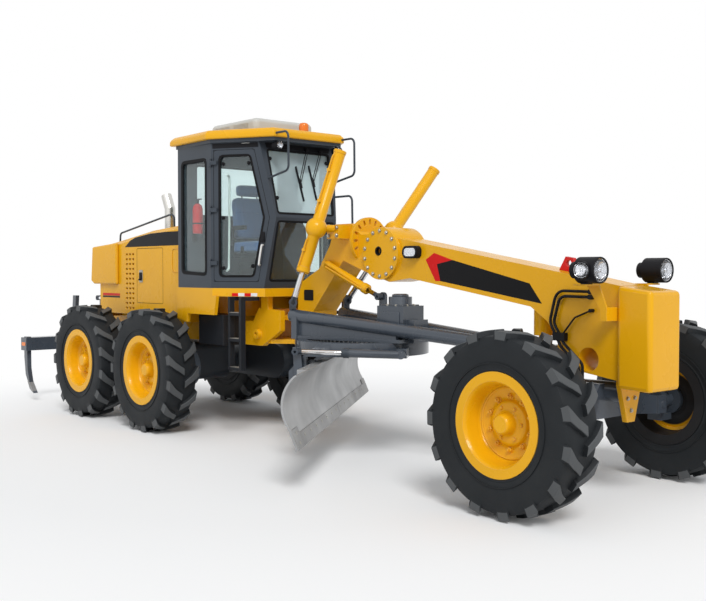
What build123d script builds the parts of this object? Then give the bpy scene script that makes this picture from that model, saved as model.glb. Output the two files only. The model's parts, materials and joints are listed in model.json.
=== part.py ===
"""Motor grader, 3.7 m blade class, built piece by piece in millimetres.

X points forward, Y to the machine's left, Z up from the ground; the origin is on the ground under
the hinge pin of the frames. The drawbar is swung a little to the right and the blade stands askew, as parked.
"""
from build123d import *
import os
from math import asin, cos, hypot, radians, sin, sqrt

os.makedirs("parts", exist_ok=True)

# Wheels and axles
tyre_radius = 655
tyre_width = 345
tread_depth = 36
lug_thickness = 78
lug_sweep = 75
lugs_per_row = 15
tyre_bore_radius = 300
bead_half_width = 138
rim_flange_radius = 366
rim_flange_width = 22
rim_wall = 16
hub_radius = 150
hub_cap_radius = 68
disc_inset = 15
half_track = 1023
axle_spacing = 1490
mid_to_front = 4935
wheel_gap = 0.5
seat_gap = 0.3

# Machine body
frame_half_width = 360
frame_bottom = 930
frame_top = 1180
hood_half_width = 610
cowl_half_width = 650
cab_half_width = 770
cab_floor = 1525
cab_top = 3000
cab_wall = 55
door_slope = 0.63
glass_thickness = 8
glass_inset = 22
door_gap = 5
roof_thickness = 95
platform_low = 1440
pivot_ahead = 2950
pin_radius = 60
pin_clearance = 0.1
yoke_radius = 125
yoke_plate = 45

# Front frame
boom_half_width = 150
weight_half_width = 195
weight_length = 285

# Work gear
ball_back = 525
ball_height = 1090
drawbar_swing = -7.0
circle_back = 1945
circle_radius = 620
circle_bottom = 950
circle_height = 120
blade_turn = 40.4
blade_length = 3710
blade_edge_height = 352
blade_back = 200
blade_chord = 610
blade_plate = 20

# Ripper
ripper_back = 1900
ripper_half_width = 1050
ripper_beam = 170

# Stations along the machine
rear_x = -pivot_ahead
mid_x = rear_x + axle_spacing
front_x = mid_x + mid_to_front
tandem_x = (rear_x + mid_x) / 2
pivot_x = 0
lug_pitch = 360 / lugs_per_row
wheel_z = tyre_radius * cos(radians(lug_pitch / 4))


def ahead(points):
    """Side outline points, given as distance ahead of the rear axle and height."""
    return [(rear_x + x, z) for x, z in points]


def side_plane(y):
    """Upright plane facing left at this y, its own x forward and y up."""
    return Plane(origin=(0, y, 0), x_dir=(1, 0, 0), z_dir=(0, -1, 0))


def rod_plane(start, end):
    """Plane at the start of a round bar, facing its end."""
    return Plane(origin=start, z_dir=Vector(*end) - Vector(*start))


def reach(start, end):
    return (Vector(*end) - Vector(*start)).length


def bent_bar(y, points, radius, bend):
    """Round bar bent in an upright fore-and-aft plane at this y."""
    with BuildPart(mode=Mode.PRIVATE) as bar:
        with BuildLine(side_plane(y)) as route:
            FilletPolyline(*ahead(points), radius=bend)
        with BuildSketch(Plane(origin=route.line @ 0, z_dir=route.line % 0)):
            Circle(radius)
        sweep(path=route.line)
    return bar.part


def save(part, name):
    part.label = name
    export_step(part, "parts/" + name + ".step")


# One tyre and one rim on the wheel axis, outboard face towards -Y, then placed six times
wheels = [
    ("rear_right", rear_x, -1),
    ("rear_left", rear_x, 1),
    ("mid_right", mid_x, -1),
    ("mid_left", mid_x, 1),
    ("front_right", front_x, -1),
    ("front_left", front_x, 1),
]
carcass_radius = tyre_radius - tread_depth
tyre_half = tyre_width / 2
lug_end = lug_thickness / 2 + lug_sweep
lug_tip = sqrt(tyre_radius**2 - lug_end**2)
lug_root = carcass_radius - 40
hub_face = -40
radial = Plane(origin=(0, 0, 0), x_dir=(1, 0, 0), z_dir=(0, 0, -1))
# half width and radius of the carcass at the bead, the sidewall and the shoulder
carcass = [
    (bead_half_width, rim_flange_radius + 6),
    (tyre_half, carcass_radius - 119),
    (tyre_half - 22, carcass_radius),
]
carcass_stations = [(-y, radius) for y, radius in carcass] + carcass[::-1]
with BuildPart() as tyre:
    for y, radius in carcass_stations:
        with BuildSketch(side_plane(y)):
            RegularPolygon(radius, 2 * lugs_per_row)
    loft(ruled=True)
    with BuildSketch(side_plane(tyre_half)):
        Circle(tyre_bore_radius)
    extrude(amount=tyre_width, mode=Mode.SUBTRACT)
    for row in (-1, 1):
        for i in range(lugs_per_row):
            turn = radians(-90 + lug_pitch * (i + row / 4)) - asin(lug_end / tyre_radius)
            out = Vector(cos(turn), 0, sin(turn))
            with BuildSketch(Plane(origin=out * lug_root, x_dir=(0, -1, 0), z_dir=out)):
                Polygon(
                    (row * 6, -lug_thickness / 2),
                    (row * (tyre_half - 6), -lug_end),
                    (row * (tyre_half - 6), lug_thickness / 2 - lug_sweep - 10),
                    (row * 6, lug_thickness / 2),
                    align=None,
                )
    extrude(amount=lug_tip - lug_root)
with BuildPart() as rim:
    with BuildSketch(radial):
        Polygon(
            (rim_flange_radius, bead_half_width + rim_flange_width),
            (tyre_bore_radius, bead_half_width + rim_flange_width),
            (tyre_bore_radius - rim_wall, bead_half_width),
            (tyre_bore_radius - rim_wall - 25, disc_inset),
            (hub_radius + 20, disc_inset - 25),
            (hub_radius, disc_inset + 8),
            (hub_cap_radius + 14, disc_inset + 14),
            (hub_cap_radius, disc_inset + 84),
            (hub_cap_radius - 12, disc_inset + 96),
            (0, disc_inset + 96),
            (0, hub_face),
            (hub_radius, hub_face),
            (hub_radius + 30, disc_inset - 45),
            (tyre_bore_radius - rim_wall - 28, disc_inset - 18),
            (tyre_bore_radius - rim_wall, -bead_half_width - seat_gap),
            (tyre_bore_radius - rim_wall, -bead_half_width - rim_flange_width),
            (rim_flange_radius, -bead_half_width - rim_flange_width),
            align=None,
        )
    revolve(axis=Axis.Y)
    # groove that the tyre's beads sit in
    with BuildSketch(radial):
        Polygon(
            (tyre_bore_radius - seat_gap, -bead_half_width - seat_gap),
            (tyre_radius, -bead_half_width - seat_gap),
            (tyre_radius, bead_half_width + seat_gap),
            (tyre_bore_radius - seat_gap, bead_half_width + seat_gap),
            align=None,
        )
    revolve(axis=Axis.Y, mode=Mode.SUBTRACT)
for name, x, side in wheels:
    place = Location((x, side * half_track, wheel_z))
    right_tyre = tyre.part if side < 0 else mirror(tyre.part, about=Plane.XZ)
    right_rim = rim.part if side < 0 else mirror(rim.part, about=Plane.XZ)
    save(right_tyre.moved(place), "tyre_" + name)
    save(right_rim.moved(place), "rim_" + name)

# Rear axle housing with its tandem cases
rail = 60
spindle_radius = 120
case_outer = half_track - tyre_half - 50
case_inner = case_outer - 240
with BuildPart() as rear_axle:
    for side in (-1, 1):
        with BuildSketch(side_plane(side * case_inner)):
            with Locations((tandem_x, wheel_z)):
                SlotOverall(axle_spacing + 420, 400)
        extrude(amount=-side * (case_outer - case_inner))
        for x in (rear_x, mid_x):
            with BuildSketch(side_plane(side * (case_outer - 10))):
                with Locations((x, wheel_z)):
                    Circle(spindle_radius)
            extrude(amount=-side * (half_track + hub_face - wheel_gap - case_outer + 10))
    with BuildSketch(side_plane(-case_inner - 10)):
        with Locations((tandem_x, wheel_z)):
            Circle(170)
    extrude(amount=-2 * case_inner - 20)
    with BuildSketch(side_plane(0)):
        with Locations((tandem_x, wheel_z + 10)):
            RectangleRounded(620, 440, 90)
    extrude(amount=230, both=True)
    # saddles that carry the rails
    for side in (-1, 1):
        with BuildSketch(side_plane(side * (frame_half_width + 10))):
            with Locations((tandem_x, frame_bottom - 80)):
                Rectangle(300, 160)
        extrude(amount=side * (rail + 20))
save(rear_axle.part, "rear_axle")

# Rear chassis: two rails, cross members, the belly pan and the hinge yoke
member_low, member_top = frame_bottom + 30, frame_top - 30
hood_foot = 1190
yoke_low, yoke_high = 960, 1200
ripper_pivot_x, ripper_pivot_z = rear_x - 790, 1060
ripper_base = Vector(rear_x - 700, 0, 1230)
eye_half = 25
ear_gap, ear_plate = 50, 25
with BuildPart() as rear_chassis:
    for side in (-1, 1):
        with BuildSketch(side_plane(side * frame_half_width)):
            Polygon(
                *ahead(
                    [
                        (-720, frame_bottom),
                        (2560, frame_bottom),
                        (2960 - 90, 1100),
                        (2960 - 90, 1300),
                        (2500, 1320),
                        (2400, frame_top),
                        (-720, frame_top),
                    ]
                ),
                align=None,
            )
        extrude(amount=side * rail)
    for x in (-690, 20, 900, 1900):
        with BuildSketch(Plane.XY.offset(member_low)):
            with Locations((rear_x + x, 0)):
                Rectangle(60, 2 * frame_half_width - rail)
        extrude(amount=member_top - member_low)
    # brackets and pin of the ripper
    for side in (-1, 1):
        with BuildSketch(side_plane(side * 270)):
            with Locations((ripper_pivot_x + 45, ripper_pivot_z)):
                Rectangle(190, 110)
        extrude(amount=-side * 50)
        with BuildSketch(side_plane(side * 300)):
            with Locations((ripper_pivot_x, ripper_pivot_z)):
                Circle(30)
        extrude(amount=-side * 90)
    # ears and pin of the ripper cylinder on the rear cross member
    for side in (-1, 1):
        with BuildSketch(side_plane(side * ear_gap)):
            with Locations((ripper_base.X, ripper_base.Z)):
                Circle(40)
            with Locations((ripper_base.X, (ripper_base.Z + member_top) / 2 - 10)):
                Rectangle(80, ripper_base.Z - member_top + 20)
        extrude(amount=-side * ear_plate)
    with BuildSketch(side_plane(0)):
        with Locations((ripper_base.X, ripper_base.Z)):
            Circle(20)
    extrude(amount=ear_gap + ear_plate, both=True)
    # tow lugs on the rails
    for side in (-1, 1):
        with BuildSketch(side_plane(side * frame_half_width)):
            with Locations((rear_x + 2503, 1051)):
                Circle(48)
                Circle(20, mode=Mode.SUBTRACT)
        extrude(amount=-side * 45)
    # outriggers under the hood's foot
    for x in (-520, 520, 1520):
        with BuildSketch(Plane.XY.offset(hood_foot - 50)):
            with Locations((rear_x + x, 0)):
                Rectangle(70, 2 * hood_half_width)
                Rectangle(70, 2 * frame_half_width - 2 * rail, mode=Mode.SUBTRACT)
        extrude(amount=50)
    # cab mounts on the rails
    for x, foot in ((1700, frame_top), (2600, 1300)):
        with BuildSketch(Plane.XY.offset(foot - 20)):
            with Locations((rear_x + x, 330), (rear_x + x, -330)):
                Rectangle(120, 60)
        extrude(amount=platform_low - foot + 20)
    # yoke plates above and below the tongue of the front frame
    for low in (yoke_low, yoke_high):
        with BuildSketch(Plane.XY.offset(low)):
            with Locations((pivot_x, 0)):
                Circle(yoke_radius)
            Polygon(
                (pivot_x - 480, -frame_half_width + 20),
                (pivot_x - 260, -frame_half_width + 20),
                (pivot_x, -yoke_radius),
                (pivot_x, yoke_radius),
                (pivot_x - 260, frame_half_width - 20),
                (pivot_x - 480, frame_half_width - 20),
                align=None,
            )
        extrude(amount=yoke_plate)
    with BuildSketch(Plane.XY.offset(yoke_low)):
        with Locations((pivot_x - 455, 0)):
            Rectangle(50, 2 * frame_half_width - 40)
    extrude(amount=yoke_high + yoke_plate - yoke_low + 60)
    with BuildSketch(Plane.XY.offset(yoke_low)):
        with Locations((pivot_x, 0)):
            Circle(pin_radius)
    extrude(amount=yoke_high + yoke_plate - yoke_low)
save(rear_chassis.part, "rear_chassis")

# Engine as one block between the rails, standing on the cross members
with BuildPart() as engine:
    with BuildSketch(Plane.XY.offset(member_top)):
        with Locations((rear_x + 460, 0)):
            Rectangle(1150, 560)
    extrude(amount=700)
save(engine.part, "engine_block")

# Hood: an open-bottomed shell with slotted sides
hood_side = ahead(
    [(-560, hood_foot), (1560, hood_foot), (1560, 2215), (1300, 2205), (700, 2165), (0, 2075),
     (-560, 2010)]
)
hood_wall = 30
stack_x, stack_y, stack_radius = rear_x + 480, -220, 62
with BuildPart() as hood:
    with BuildSketch(side_plane(0)):
        Polygon(*hood_side, align=None)
    extrude(amount=hood_half_width, both=True)
    top_edges = hood.edges().filter_by(lambda e: abs(e.center().Y) > hood_half_width - 1)
    chamfer([e for e in top_edges if e.center().Z > 2020 and abs(e.tangent_at(0.5).Y) < 0.1
             and abs(e.tangent_at(0.5).X) > 0.5], 45)
    with BuildSketch(side_plane(0)):
        Polygon(
            *ahead([(-530, hood_foot), (1530, hood_foot), (1530, 2150), (700, 2105), (0, 2020),
                    (-530, 1960)]),
            align=None,
        )
    extrude(amount=hood_half_width - hood_wall, both=True, mode=Mode.SUBTRACT)
    with BuildSketch(side_plane(0)):
        with Locations((rear_x + 208, 1579)):
            with GridLocations(78, 58, 3, 12):
                Rectangle(50, 22)
    extrude(amount=2 * hood_half_width, both=True, mode=Mode.SUBTRACT)
    with BuildSketch(Plane.XY.offset(1950)):
        with Locations((stack_x, stack_y)):
            Circle(stack_radius + seat_gap)
    extrude(amount=400, mode=Mode.SUBTRACT)
save(hood.part, "hood")

# Rear cowl over the radiator, standing proud of the hood
with BuildPart() as cowl:
    with BuildSketch(side_plane(0)):
        Polygon(
            *ahead([(-740, 1580), (-660, 1540), (-60, 1540), (-60, 2040), (-700, 2000)]), align=None
        )
    extrude(amount=cowl_half_width, both=True)
    with BuildSketch(side_plane(0)):
        Polygon(*ahead([(-570, 1400), (0, 1400), (0, 2400), (-570, 2400)]), align=None)
    extrude(amount=hood_half_width + seat_gap, both=True, mode=Mode.SUBTRACT)
save(cowl.part, "rear_cowl")

# Exhaust stack with a bent tip
with BuildPart() as exhaust:
    foot = (stack_x, stack_y, 2050)
    bend = (stack_x, stack_y, 2440)
    tip = (stack_x - 80, stack_y, 2600)
    for start, end in ((foot, bend), (bend, tip)):
        with BuildSketch(rod_plane(start, end)):
            Circle(stack_radius)
        extrude(amount=reach(start, end))
    with Locations(bend):
        Sphere(stack_radius)
    with BuildSketch(rod_plane(tip, bend)):
        Circle(stack_radius - 5)
    extrude(amount=120, mode=Mode.SUBTRACT)
save(exhaust.part, "exhaust_stack")

# Cab base: the yellow platform under the cab and the floor
platform_outline = [
    (1560, -cab_half_width), (2260, -cab_half_width), (2760, -470),
    (2760, 470), (2260, cab_half_width), (1560, cab_half_width),
]
with BuildPart() as cab_base:
    with BuildSketch(Plane.XY.offset(platform_low)):
        Polygon(*[(rear_x + x, y) for x, y in platform_outline], align=None)
    extrude(amount=cab_floor - platform_low)
    for side in (-1, 1):
        with BuildSketch(side_plane(side * cab_half_width)):
            Polygon(*ahead([(1560, 1200), (1760, 1160), (1780, 1250), (2290, 1250),
                            (2330, platform_low + 5), (1560, platform_low + 5)]), align=None)
        extrude(amount=side * 40)
    with BuildSketch(Plane.XY.offset(hood_foot)):
        with Locations((rear_x + 1575, 0)):
            Rectangle(30, 2 * cab_half_width - 40)
    extrude(amount=platform_low + 5 - hood_foot)
save(cab_base.part, "cab_base")

roof_outline = [
    (1470, -800), (2240, -835), (2900, -455), (2900, 455), (2240, 835), (1470, 800),
]
header_height = 35

# Cab walls, doors and panes all come from nested outlines of the same cab
knee_x, knee_z = rear_x + 2845, 2240
foot_x = rear_x + 2730
brow_x = rear_x + 2690
cab_rear_x = rear_x + 1592
post_x = rear_x + 2240


def cab_plan(inset):
    """Plan outline of the cab, moved in by the inset, running past the front faces."""
    slope_inset = inset * hypot(1, door_slope)
    nose = knee_x + 60
    nose_y = cab_half_width - door_slope * (nose - post_x) - slope_inset
    post_y = cab_half_width - inset
    turn_x = post_x - (slope_inset - inset) / door_slope
    return [
        (cab_rear_x + inset, -post_y), (turn_x, -post_y), (nose, -nose_y),
        (nose, nose_y), (turn_x, post_y), (cab_rear_x + inset, post_y),
    ]


def cab_side(inset):
    """Side outline of the cab with its two sloping front faces moved in."""
    return [
        (cab_rear_x - 10, cab_floor - 5), (foot_x - inset, cab_floor - 5), (knee_x - inset * 1.02, knee_z),
        (brow_x - inset, cab_top + 5), (cab_rear_x - 10, cab_top + 5),
    ]


door_dir = Vector(1, door_slope, 0).normalized()
door_out = Vector(door_slope, -1, 0).normalized()
door_right_plane = Plane(origin=(post_x, -cab_half_width, 0), x_dir=door_dir, z_dir=door_out)
door_left_plane = Plane(
    origin=(post_x, cab_half_width, 0),
    x_dir=(door_dir.X, -door_dir.Y, 0),
    z_dir=(door_out.X, -door_out.Y, 0),
)
along = hypot(1, door_slope)


def front_edge(z, inset):
    """Distance along the door wall to its front edge at a height."""
    if z < knee_z:
        x = foot_x + (knee_x - foot_x) * (z - cab_floor) / (knee_z - cab_floor)
    else:
        x = knee_x + (brow_x - knee_x) * (z - knee_z) / (cab_top - knee_z)
    return (x - post_x) * along - inset


def door_outline(hinge, edge, low, high):
    """Door shape in its own plane: straight at the hinge, bent at the knee in front."""
    points = [(hinge, low), (front_edge(low, edge), low), (front_edge(knee_z, edge), knee_z),
              (front_edge(high, edge), high), (hinge, high)]
    return points


def local(points, plane_side):
    """Door outline with heights on the plane's own y, which points up or down."""
    return [(u, plane_side * z) for u, z in points]


door_low, door_high = 1590, 2930
door_hinge_side = 30
right_up = door_right_plane.y_dir.Z
left_up = door_left_plane.y_dir.Z
door_hole = door_outline(door_hinge_side, 70, door_low, door_high)
door_leaf = door_outline(door_hinge_side + door_gap, 70 + door_gap, door_low + door_gap, door_high - door_gap)
door_window = door_outline(door_hinge_side + 65, 130, door_low + 55, door_high - 60)
side_window = ahead([(1672, 1680), (2150, 1660), (2150, 2850), (1672, 2850)])
front_upper = [(-360, knee_z + 40), (360, knee_z + 40), (400, 2930), (-400, 2930)]
front_lower = [(-400, 1600), (400, 1600), (360, knee_z - 40), (-360, knee_z - 40)]
rear_window = [(-560, 2290), (560, 2290), (560, 2850), (-560, 2850)]


def cab_solid(inset):
    """Closed cab form, moved in by the inset: plan prism trimmed by the side outline."""
    with BuildPart() as form:
        with BuildSketch(Plane.XY.offset(cab_floor)):
            Polygon(*cab_plan(inset), align=None)
        extrude(amount=cab_top - cab_floor)
        with BuildSketch(side_plane(0)):
            Polygon(*cab_side(inset), align=None)
        extrude(amount=2 * cab_half_width, both=True, mode=Mode.INTERSECT)
    return form.part


hinge_out = 15
hinge_pin = 8
knuckle_radius = 13
hinge_heights = (1760, 2300, 2780)


def hinge_plane(side, z):
    """Level plane on a door's hinge axis, its x along the shut door."""
    origin = (post_x + hinge_out * door_out.X, side * (cab_half_width - hinge_out * door_out.Y), z)
    return Plane(origin=origin, x_dir=(door_dir.X, -side * door_dir.Y, 0), z_dir=(0, 0, 1))


outer_cab = cab_solid(0)
inner_cab = cab_solid(cab_wall)
pane_outer = cab_solid(glass_inset)
pane_inner = cab_solid(glass_inset + glass_thickness)

with BuildPart() as cab_frame:
    add(outer_cab)
    add(inner_cab, mode=Mode.SUBTRACT)
    for plane, up in ((door_right_plane, right_up), (door_left_plane, left_up)):
        with BuildSketch(plane):
            Polygon(*local(door_hole, up), align=None)
        extrude(amount=120, both=True, mode=Mode.SUBTRACT)
    with BuildSketch(side_plane(0)):
        Polygon(*side_window, align=None)
    extrude(amount=2 * cab_half_width, both=True, mode=Mode.SUBTRACT)
    with BuildSketch(Plane(origin=(post_x, 0, 0), x_dir=(0, 1, 0), z_dir=(1, 0, 0))):
        Polygon(*front_upper, align=None)
        Polygon(*front_lower, align=None)
    extrude(amount=1200, mode=Mode.SUBTRACT)
    with BuildSketch(Plane(origin=(post_x, 0, 0), x_dir=(0, 1, 0), z_dir=(1, 0, 0))):
        Polygon(*rear_window, align=None)
    extrude(amount=-1200, mode=Mode.SUBTRACT)
    # hinge pins with a tab above and below each door knuckle
    for side in (-1, 1):
        for z in hinge_heights:
            for low in (z - 22, z + 42):
                with BuildSketch(hinge_plane(side, low)):
                    Circle(knuckle_radius)
                    Polygon((-12, 0), (12, 0), (12, -side * 26), (-12, -side * 26), align=None)
                extrude(amount=20)
            with BuildSketch(hinge_plane(side, z - 22)):
                Circle(hinge_pin)
            extrude(amount=84)
    # dark header under the roof
    with BuildSketch(Plane.XY.offset(cab_top)):
        Polygon(*[(rear_x + 1540 + (x - 1470) * 0.93, y * 0.95) for x, y in roof_outline], align=None)
    extrude(amount=header_height)
save(cab_frame.part, "cab_frame")

with BuildPart() as cab_glass:
    add(pane_outer)
    add(pane_inner, mode=Mode.SUBTRACT)
    with BuildPart(mode=Mode.PRIVATE) as holes:
        with BuildSketch(side_plane(0)):
            Polygon(*side_window, align=None)
        extrude(amount=2 * cab_half_width, both=True)
        with BuildSketch(Plane(origin=(post_x + 300, 0, 0), x_dir=(0, 1, 0), z_dir=(1, 0, 0))):
            Polygon(*front_upper, align=None)
            Polygon(*front_lower, align=None)
        extrude(amount=1200)
        with BuildSketch(Plane(origin=(post_x - 500, 0, 0), x_dir=(0, 1, 0), z_dir=(1, 0, 0))):
            Polygon(*rear_window, align=None)
        extrude(amount=-1200)
    add(holes.part, mode=Mode.INTERSECT)
save(cab_glass.part, "cab_glass")

for name, plane, up in (("right", door_right_plane, right_up), ("left", door_left_plane, left_up)):
    with BuildPart() as door:
        with BuildSketch(plane):
            Polygon(*local(door_leaf, up), align=None)
            Polygon(*local(door_window, up), align=None, mode=Mode.SUBTRACT)
        extrude(amount=-cab_wall)
        side = -1 if name == "right" else 1
        for z in hinge_heights:
            with BuildSketch(hinge_plane(side, z)):
                Circle(knuckle_radius)
                Polygon((0, -10 * -side), (75, -10 * -side), (75, hinge_out * -side),
                        (door_hinge_side + door_gap, hinge_out * -side), (28, 9 * -side), (0, 9 * -side),
                        align=None)
                Circle(hinge_pin + pin_clearance, mode=Mode.SUBTRACT)
            extrude(amount=40)
    save(door.part, "door_" + name)
    with BuildPart() as pane:
        with BuildSketch(plane.offset(-glass_inset)):
            Polygon(*local(door_window, up), align=None)
        extrude(amount=-glass_thickness)
    save(pane.part, "door_glass_" + name)

# Roof with the cooler and the beacon on it
roof_low = cab_top + header_height
with BuildPart() as roof:
    with BuildSketch(Plane.XY.offset(roof_low)):
        Polygon(*[(rear_x + x, y) for x, y in roof_outline], align=None)
    extrude(amount=roof_thickness)
    chamfer(roof.faces().sort_by(Axis.Z)[-1].edges(), 40)
save(roof.part, "cab_roof")
with BuildPart() as cooler:
    with BuildSketch(Plane.XY.offset(roof_low + roof_thickness)):
        with Locations((rear_x + 2050, 0)):
            RectangleRounded(850, 760, 60)
    extrude(amount=150)
    chamfer(cooler.faces().sort_by(Axis.Z)[-1].edges(), 30)
save(cooler.part, "air_conditioner")
with BuildPart() as beacon:
    with BuildSketch(Plane.XY.offset(roof_low + roof_thickness)):
        with Locations((rear_x + 2640, 120)):
            Circle(55)
    extrude(amount=120)
    chamfer(beacon.edges().sort_by(Axis.Z)[-1], 25)
save(beacon.part, "beacon")

# Handrails: mirror loops ahead of the cab's pillars and a rail along each side of the hood
rail_radius = 11
loop_y = 425
mirror_loop = [(2900, 3070), (3095, 3070), (3100, 2690), (2700, 2620)]
grab_loop = [(2700, 2480), (3060, 2480), (3070, 2070), (2700, 2030)]
hood_rail = [(-200, 2035), (-190, 2160), (980, 2335), (1088, 2330), (1092, 2175)]
with BuildPart() as handrails:
    for y, route in ((-loop_y, mirror_loop), (loop_y, mirror_loop), (loop_y, grab_loop)):
        add(bent_bar(y, route, rail_radius, 60))
    add(outer_cab, mode=Mode.SUBTRACT)
    for side in (-1, 1):
        add(bent_bar(side * (hood_half_width - 90), hood_rail, rail_radius, 50))
    add(hood.part, mode=Mode.SUBTRACT)
save(handrails.part, "handrails")

# Round lamps hung under the roof's front edge
with BuildPart() as roof_lamps:
    for side in (-1, 1):
        with BuildSketch(Plane(origin=(rear_x + 2820, side * 385, 2952), x_dir=(0, 1, 0), z_dir=(1, 0, 0))):
            Circle(42)
        extrude(amount=75)
        with BuildSketch(Plane.XY.offset(2952)):
            with Locations((rear_x + 2845, side * 385)):
                Circle(12)
        extrude(amount=cab_top - 2952)
save(roof_lamps.part, "roof_lamps")

# Seat and console inside the cab
with BuildPart() as seat:
    with BuildSketch(Plane.XY.offset(cab_floor)):
        with Locations((rear_x + 2050, 0)):
            Rectangle(380, 400)
    extrude(amount=360)
    with BuildSketch(Plane.XY.offset(cab_floor + 360)):
        with Locations((rear_x + 2080, 0)):
            RectangleRounded(540, 540, 60)
    extrude(amount=140)
    with BuildSketch(side_plane(0)):
        Polygon(*ahead([(1810, cab_floor + 440), (1930, cab_floor + 440), (1860, cab_floor + 1120),
                        (1750, cab_floor + 1120)]), align=None)
    extrude(amount=250, both=True)
save(seat.part, "seat")
with BuildPart() as console:
    with BuildSketch(side_plane(0)):
        Polygon(*ahead([(2480, cab_floor), (2660, cab_floor), (2620, cab_floor + 620),
                        (2500, cab_floor + 760), (2430, cab_floor + 740)]), align=None)
    extrude(amount=160, both=True)
    with BuildSketch(Plane(origin=(rear_x + 2440, 0, cab_floor + 790), z_dir=(-0.45, 0, 1))):
        Circle(210)
        Circle(180, mode=Mode.SUBTRACT)
        Rectangle(380, 36)
    extrude(amount=26)
    with BuildSketch(Plane(origin=(rear_x + 2440, 0, cab_floor + 790), z_dir=(0.45, 0, -1))):
        Circle(35)
    extrude(amount=120)
save(console.part, "steering_console")

# Ladders hung under the platform, with the closed boxes behind them
ladder_front, ladder_rear = 2650, 2455
ladder_out, ladder_width = 700, 60
stile = 36
# side, height of the foot, steps: the left ladder ends above the blade's trailing end
ladder_sides = [(-1, 700, (700, 990, 1250)), (1, 1010, (1010, 1230))]
with BuildPart() as ladders:
    for side, foot, steps in ladder_sides:
        for x in (ladder_rear, ladder_front):
            with BuildSketch(side_plane(side * (ladder_out - ladder_width))):
                with Locations((rear_x + x, (foot + platform_low) / 2)):
                    Rectangle(stile, platform_low - foot)
            extrude(amount=-side * ladder_width)
            with BuildSketch(side_plane(side * 470)):
                with Locations((rear_x + x, platform_low - 20)):
                    Rectangle(stile, 40)
            extrude(amount=-side * (ladder_out - 470))
        for height in steps:
            with BuildSketch(Plane.XY.offset(height)):
                with Locations((rear_x + (ladder_front + ladder_rear) / 2, side * (ladder_out - 30))):
                    Rectangle(ladder_front - ladder_rear, 80)
            extrude(amount=30)
        with BuildSketch(side_plane(side * 380)):
            Polygon(*ahead([(1790, 930), (2260, 930), (2260, 1245), (1790, 1245)]), align=None)
        extrude(amount=-side * 260)
        with BuildSketch(side_plane(side * frame_half_width)):
            Polygon(*ahead([(1900, 1000), (2150, 1000), (2150, 1150), (1900, 1150)]), align=None)
        extrude(amount=-side * 21)
save(ladders.part, "ladders")

# Boom and gooseneck: the front frame in one side outline, with its hinge tongue
boom_outline = ahead(
    [
        (2890, 1270), (3085, 1270), (3085, 1190), (2950, 1190), (2950, 1015), (3150, 1015),
        (3141, 1300), (3600, 1800), (3900, 1700), (4250, 1600), (4520, 1635), (5885, 1420),
        (6043, 1315), (6200, 1130), (6250, 960), (6705, 900), (6705, 1592), (6170, 1690), (4100, 2040),
        (3860, 2040), (3720, 2150), (3480, 2150), (3400, 1950), (3230, 1720), (2890, 1560),
    ]
)
tongue_low, tongue_high = yoke_low + yoke_plate + 5, yoke_high - 5
# Lift cylinders: trunnion and lower eye, with the upright direction square to their motion
trunnion_x, trunnion_y, trunnion_z = rear_x + 3620, 495, 2100
swing = radians(drawbar_swing)
ball = Vector(front_x - ball_back, 0, ball_height)
back = Vector(-cos(swing), sin(swing), 0)
across = Vector(-sin(swing), -cos(swing), 0)


def bar_point(u, v, z):
    """Point given as distance back from the ball, distance to the right and height."""
    p = Vector(ball.X, ball.Y, 0) + back * u + across * v
    return (p.X, p.Y, z)


eye_back, eye_out, eye_height = 2470, 375, 1405
lift_ends = {
    "right": (Vector(trunnion_x, -trunnion_y, trunnion_z), Vector(*bar_point(eye_back, eye_out, eye_height))),
    "left": (Vector(trunnion_x, trunnion_y, trunnion_z), Vector(*bar_point(eye_back, -eye_out, eye_height))),
}
shift_base = Vector(rear_x + 3398, -200, 1765)
shift_eye = Vector(rear_x + 4165, -200, 1466)


def forward_normal(start, end):
    """Level direction square to a leaning bar, on its forward side."""
    lean = end - start
    n = Vector(lean.Y, -lean.X, 0).normalized()
    return n if n.X > 0 else n * -1


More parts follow.
